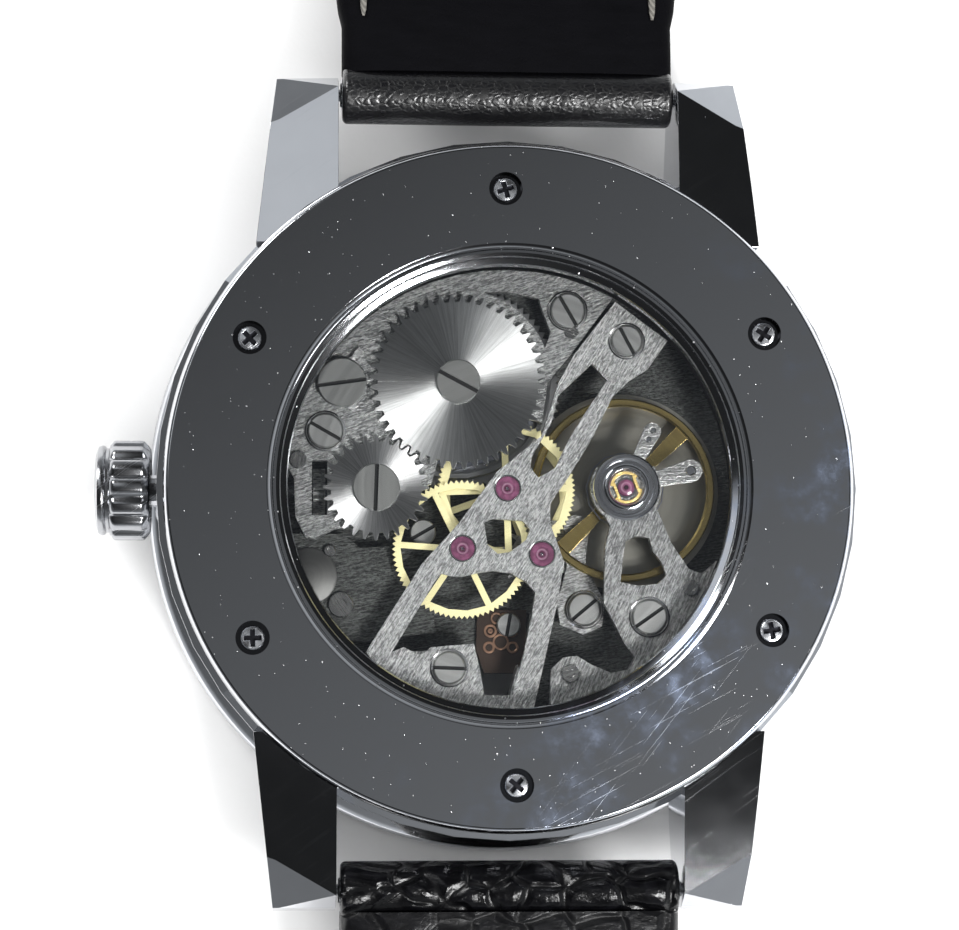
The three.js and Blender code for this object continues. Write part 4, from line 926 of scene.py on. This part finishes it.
def strap_half(side, length_, rest, tip, start=1.2, step=1.0):
    """Lofts a padded strap half: a rounded section carried from its bar to its end."""
    bm = bmesh.new()
    ring = bmesh.ops.create_circle(bm, cap_ends=False, radius=1.0, segments=40)["verts"]
    angles = [math.atan2(v.co.y, v.co.x) for v in ring]
    stations = []
    d = start
    while d < length_ - 0.3:
        stations.append(d)
        d += step if length_ - d > tip + 2 else step * 0.6
    stations += [length_ - 0.12, length_]

    def lay(verts, d, shrink=1.0):
        middle, thick, half = strap_section(d, length_, rest, tip)
        crown = min(max((d - 3) / 6, 0), 1)
        for v, angle in zip(verts, angles):
            c, s = math.cos(angle), math.sin(angle)
            u = math.copysign(abs(c) ** 0.28, c)
            w = math.copysign(abs(s) ** 0.55, s)
            pad = 1 - 0.16 * crown * abs(u) ** 6
            v.co = (u * (half - 0.2 * abs(w) ** 4) * shrink, side * (BAR_Y + d),
                    middle + w * thick / 2 * pad * shrink)

    lay(ring, stations[0])
    bmesh.ops.contextual_create(bm, geom=list({e for v in ring for e in v.link_edges}))
    edges = list({e for v in ring for e in v.link_edges})
    last = ring
    for i, d in enumerate(stations[1:]):
        grown = bmesh.ops.extrude_edge_only(bm, edges=edges)["geom"]
        verts = [g for g in grown if isinstance(g, bmesh.types.BMVert)]
        edges = [g for g in grown if isinstance(g, bmesh.types.BMEdge)
                 and all(v in set(verts) for v in g.verts)]
        order = {}
        for v in verts:
            for e in v.link_edges:
                other = e.other_vert(v)
                if other in last_index(last):
                    order[v] = last_index(last)[other]
        verts = sorted(verts, key=order.get)
        lay(verts, d, 0.9 if i == len(stations) - 2 else 1.0)
        last = verts
    bmesh.ops.contextual_create(bm, geom=edges)
    bmesh.ops.recalc_face_normals(bm, faces=bm.faces)
    return bm


def last_index(verts):
    return {v: i for i, v in enumerate(verts)}


def wrap(side):
    """The leather rolled round the spring bar, open at the bar's hole."""
    bm = slab(circle((0, 0), 1.68, 36), -9.75, 9.75, [circle((0, 0), 0.8, 24)])
    bmesh.ops.bevel(bm, geom=[e for e in bm.edges if e.calc_face_angle(0) > 1.0], offset=0.32, offset_type="OFFSET",
                    segments=4, profile=0.5, affect="EDGES", clamp_overlap=True, material=-1)
    return moved(bm, Matrix.Translation((0, side * BAR_Y, BAR_Z)) @ Matrix.Rotation(math.radians(90), 4, "Y"))


def stitch(at, direction, length_, thick=0.42):
    """One stitch: a short fat thread that dips into the leather at both ends."""
    bm = bmesh.new()
    bmesh.ops.create_uvsphere(bm, u_segments=10, v_segments=6, radius=0.5)
    turn = Vector(direction).to_track_quat("X", "Z").to_matrix().to_4x4()
    return moved(bm, Matrix.Translation(at) @ turn @ Matrix.Diagonal((length_, thick, thick * 0.7, 1)))


class WATCH_OT_strap(Step, bpy.types.Operator):
    """Both padded strap halves with their rolled ends, holes and stitching"""
    bl_idname = "watch.strap"
    bl_label = "Strap"

    def make(self, case, movement, strap, stage):
        scales = embossed_leather(strap, "embossed_leather")
        glossy = {1: rolled_leather(strap), -1: embossed_leather(strap, "rolled_scales", 0.16, 0.2)}
        lining = lining_leather(strap)
        halves = ((1, 70.2, 0.85, 0, "strap_12", "strap_12"), (-1, 113.7, 0.02, 12, "strap_6", "strap_6"))
        for side, length_, rest, tip, node, body in halves:
            bm = strap_half(side, length_, rest, tip)
            if side < 0:
                for i in range(7):
                    cut_hole(bm, -(111 - 7 * i))
            else:
                cut_notch(bm, 92, 1.5)
            roll = wrap(side)
            piece = add_piece(f"leather_{node[6:]}", bm, scales if side < 0 else lining, body, [node], 50)
            add_piece(f"rolled_end_{node[6:]}", roll, glossy[side], body, (), 50)
            seams = []
            pitch = strap.stitch_length / MM * 1.35
            d = 5.6
            while d < length_ - max(tip, 9):
                middle, thick, half = strap_section(d, length_, rest, tip)
                ahead = strap_section(d + 0.5, length_, rest, tip)
                inset = strap.stitch_inset / MM
                direction = (0, side * 0.5, ahead[0] + ahead[1] / 2 - middle - thick / 2)
                for x in (-1, 1):
                    for up in (1, -1):
                        at = (x * (half - inset), side * (BAR_Y + d), middle + up * (thick / 2 * 0.97))
                        seams.append(stitch(at, direction, strap.stitch_length / MM))
                d += pitch
            add_piece(f"stitching_{node[6:]}", joined(*seams), thread(strap), body, (), 60)
        for name, node, body in (("fixed", "fixed_keeper", "strap_12"), ("free", "free_keeper", "free_keeper")):
            bm = from_frame(node, 0.3, 4, 40)
            add_piece(f"{name}_loop", bm, scales, body, [node], 40)


def cut_through(bm, outline):
    """Cuts an upright opening through a strap with a boolean."""
    mesh = bpy.data.meshes.new("blank")
    bm.to_mesh(mesh)
    blank = bpy.data.objects.new("blank", mesh)
    punch_mesh = bpy.data.meshes.new("punch")
    tool = slab(outline, -3, 12)
    tool.to_mesh(punch_mesh)
    tool.free()
    punch = bpy.data.objects.new("punch", punch_mesh)
    for made in (blank, punch):
        bpy.context.scene.collection.objects.link(made)
    modifier = blank.modifiers.new("cut", "BOOLEAN")
    modifier.operation, modifier.solver, modifier.object = "DIFFERENCE", "EXACT", punch
    result = bpy.data.meshes.new_from_object(blank.evaluated_get(bpy.context.evaluated_depsgraph_get()))
    bm.clear()
    bm.from_mesh(result)
    for made in (blank, punch):
        bpy.data.objects.remove(made)
    for made in (mesh, punch_mesh, result):
        bpy.data.meshes.remove(made)


def cut_hole(bm, y):
    cut_through(bm, circle((0, y), 0.85, 24))


def cut_notch(bm, y, half):
    cut_through(bm, [(-half, y - 6), (half, y - 6), (half, y + 6), (-half, y + 6)])


class WATCH_OT_buckle(Step, bpy.types.Operator):
    """Pin buckle: frame, bar and tongue"""
    bl_idname = "watch.buckle"
    bl_label = "Buckle"

    def make(self, case, movement, strap, stage):
        steel = polished_case(case, "buckle_steel", 0.12, 1.05)
        for name, node, body, bevel, segments, sharp, smooth in (
                ("buckle_loop", "buckle_frame", "buckle", 0.22, 4, 25, 25),
                ("buckle_pin_bar", "buckle_bar", "buckle", 0.08, 2, 50, 40),
                ("buckle_prong", "buckle_tongue", "buckle_tongue", 0.14, 3, 40, 40)):
            add_piece(name, from_frame(node, bevel, segments, sharp), steel, body, [node], smooth)


# ---------------------------------------------------------------- studio
class WATCH_OT_stage(Step, bpy.types.Operator):
    """Pale floor, soft lights and the camera"""
    bl_idname = "watch.stage"
    bl_label = "Studio"

    def make(self, case, movement, strap, stage):
        scene = bpy.context.scene
        bm = bmesh.new()
        bmesh.ops.create_grid(bm, x_segments=8, y_segments=8, size=stage.floor_size / 2)
        bmesh.ops.translate(bm, vec=(0, 0, CAD_BOX[0].z - 0.00005), verts=bm.verts)
        mesh = bpy.data.meshes.new("floor")
        bm.to_mesh(mesh)
        bm.free()
        floor = bpy.data.objects.new("floor", mesh)
        scene.collection.objects.link(floor)
        mesh.materials.append(matt("floor_paper", stage.floor_tint, 0.8, 0.01))
        scene.view_settings.view_transform = "Standard"
        world = bpy.data.worlds.new("studio")
        scene.world = world
        f = Finish.around(world)
        x, y, z = f.axes(f.node("ShaderNodeTexCoord", output="Generated"))
        # Overhead it is dim and a little brighter to the lower right, dark beyond that, and paler towards the floor.
        out = ((x - 0.07) * (x - 0.07) + (y - 0.10) * (y - 0.10)) ** 0.5
        overhead = (0.135 + 0.32 * x - 0.42 * y) * out.below(0.16, 0.30) * z.above(0.0, 0.1)
        panel = (x.below(-0.15, -0.08) * x.above(-0.55, -0.45) * y.above(0.08, 0.15) * y.below(0.38, 0.5)
                 * z.above(0.6, 0.7))
        band = (0.30 + 0.20 * x) * z.below(0.40, 0.62) + 0.55 * z.below(0.03, 0.16)
        f.set(color=(0.93, 0.965, 1.0), strength=stage.sky * (0.02 + overhead + 0.75 * panel + band))
        for name, place, size, power in (
                ("key", (0.25, -0.27, 0.53), 0.20, stage.key_power),
                ("side", (-0.34, 0.36, 0.40), 0.24, stage.side_power),
                ("floor fill", (0.0, 0.0, 1.2), 2.4, stage.fill_power)):
            lamp = bpy.data.lights.new(name, "AREA")
            lamp.shape, lamp.size, lamp.energy = "DISK", size, power
            light = bpy.data.objects.new(name, lamp)
            light.matrix_world = Matrix.Translation(place) @ (
                -Vector(place)).to_track_quat("-Z", "Y").to_matrix().to_4x4()
            light.visible_glossy = name != "floor fill"
            scene.collection.objects.link(light)
        # The camera leans over the watch from its lower left.
        turned = (Matrix.Rotation(math.radians(0.11), 3, "Z") @ Matrix.Rotation(math.radians(-5.83), 3, "X")
                  @ Matrix.Rotation(math.radians(4.14), 3, "Y"))
        shift = Vector((1.04, -2.23, -181.42)) * MM
        lens = bpy.data.cameras.new("camera")
        lens.sensor_width, lens.lens = 36.0, 110.8
        lens.clip_start, lens.clip_end = 0.01, 20
        camera = bpy.data.objects.new("camera", lens)
        back_turn = turned.transposed()
        camera.matrix_world = Matrix.Translation(-(back_turn @ shift)) @ back_turn.to_4x4()
        scene.collection.objects.link(camera)
        scene.camera = camera


OPERATORS = (WATCH_OT_case_back, WATCH_OT_back_screws, WATCH_OT_case_body, WATCH_OT_crown, WATCH_OT_plates,
             WATCH_OT_wheels, WATCH_OT_balance, WATCH_OT_jewels, WATCH_OT_movement_screws, WATCH_OT_strap,
             WATCH_OT_buckle, WATCH_OT_stage)
GROUPS = (("watch_case", WatchCaseSettings), ("watch_movement", WatchMovementSettings),
          ("watch_strap", WatchStrapSettings), ("watch_stage", WatchStageSettings))


class WATCH_PT_panel(bpy.types.Panel):
    """Lists the settings and the operators that make the watch"""
    bl_idname = "WATCH_PT_panel"
    bl_label = "Skeleton Wristwatch"
    bl_space_type = "VIEW_3D"
    bl_region_type = "UI"
    bl_category = "Watch"

    def draw(self, context):
        for name, group in GROUPS:
            box = self.layout.box()
            for prop in group.__annotations__:
                box.prop(getattr(context.scene, name), prop)
        for operator in OPERATORS:
            self.layout.operator(operator.bl_idname)


CLASSES = tuple(group for _, group in GROUPS) + OPERATORS + (WATCH_PT_panel,)


def register():
    for cls in CLASSES:
        bpy.utils.register_class(cls)
    for name, group in GROUPS:
        setattr(bpy.types.Scene, name, PointerProperty(type=group))


def unregister():
    for name, _ in GROUPS:
        delattr(bpy.types.Scene, name)
    for cls in reversed(CLASSES):
        bpy.utils.unregister_class(cls)


def main():
    register()
    for operator in OPERATORS:
        getattr(bpy.ops.watch, operator.bl_idname.split(".")[1])()


if __name__ == "__main__":
    main()
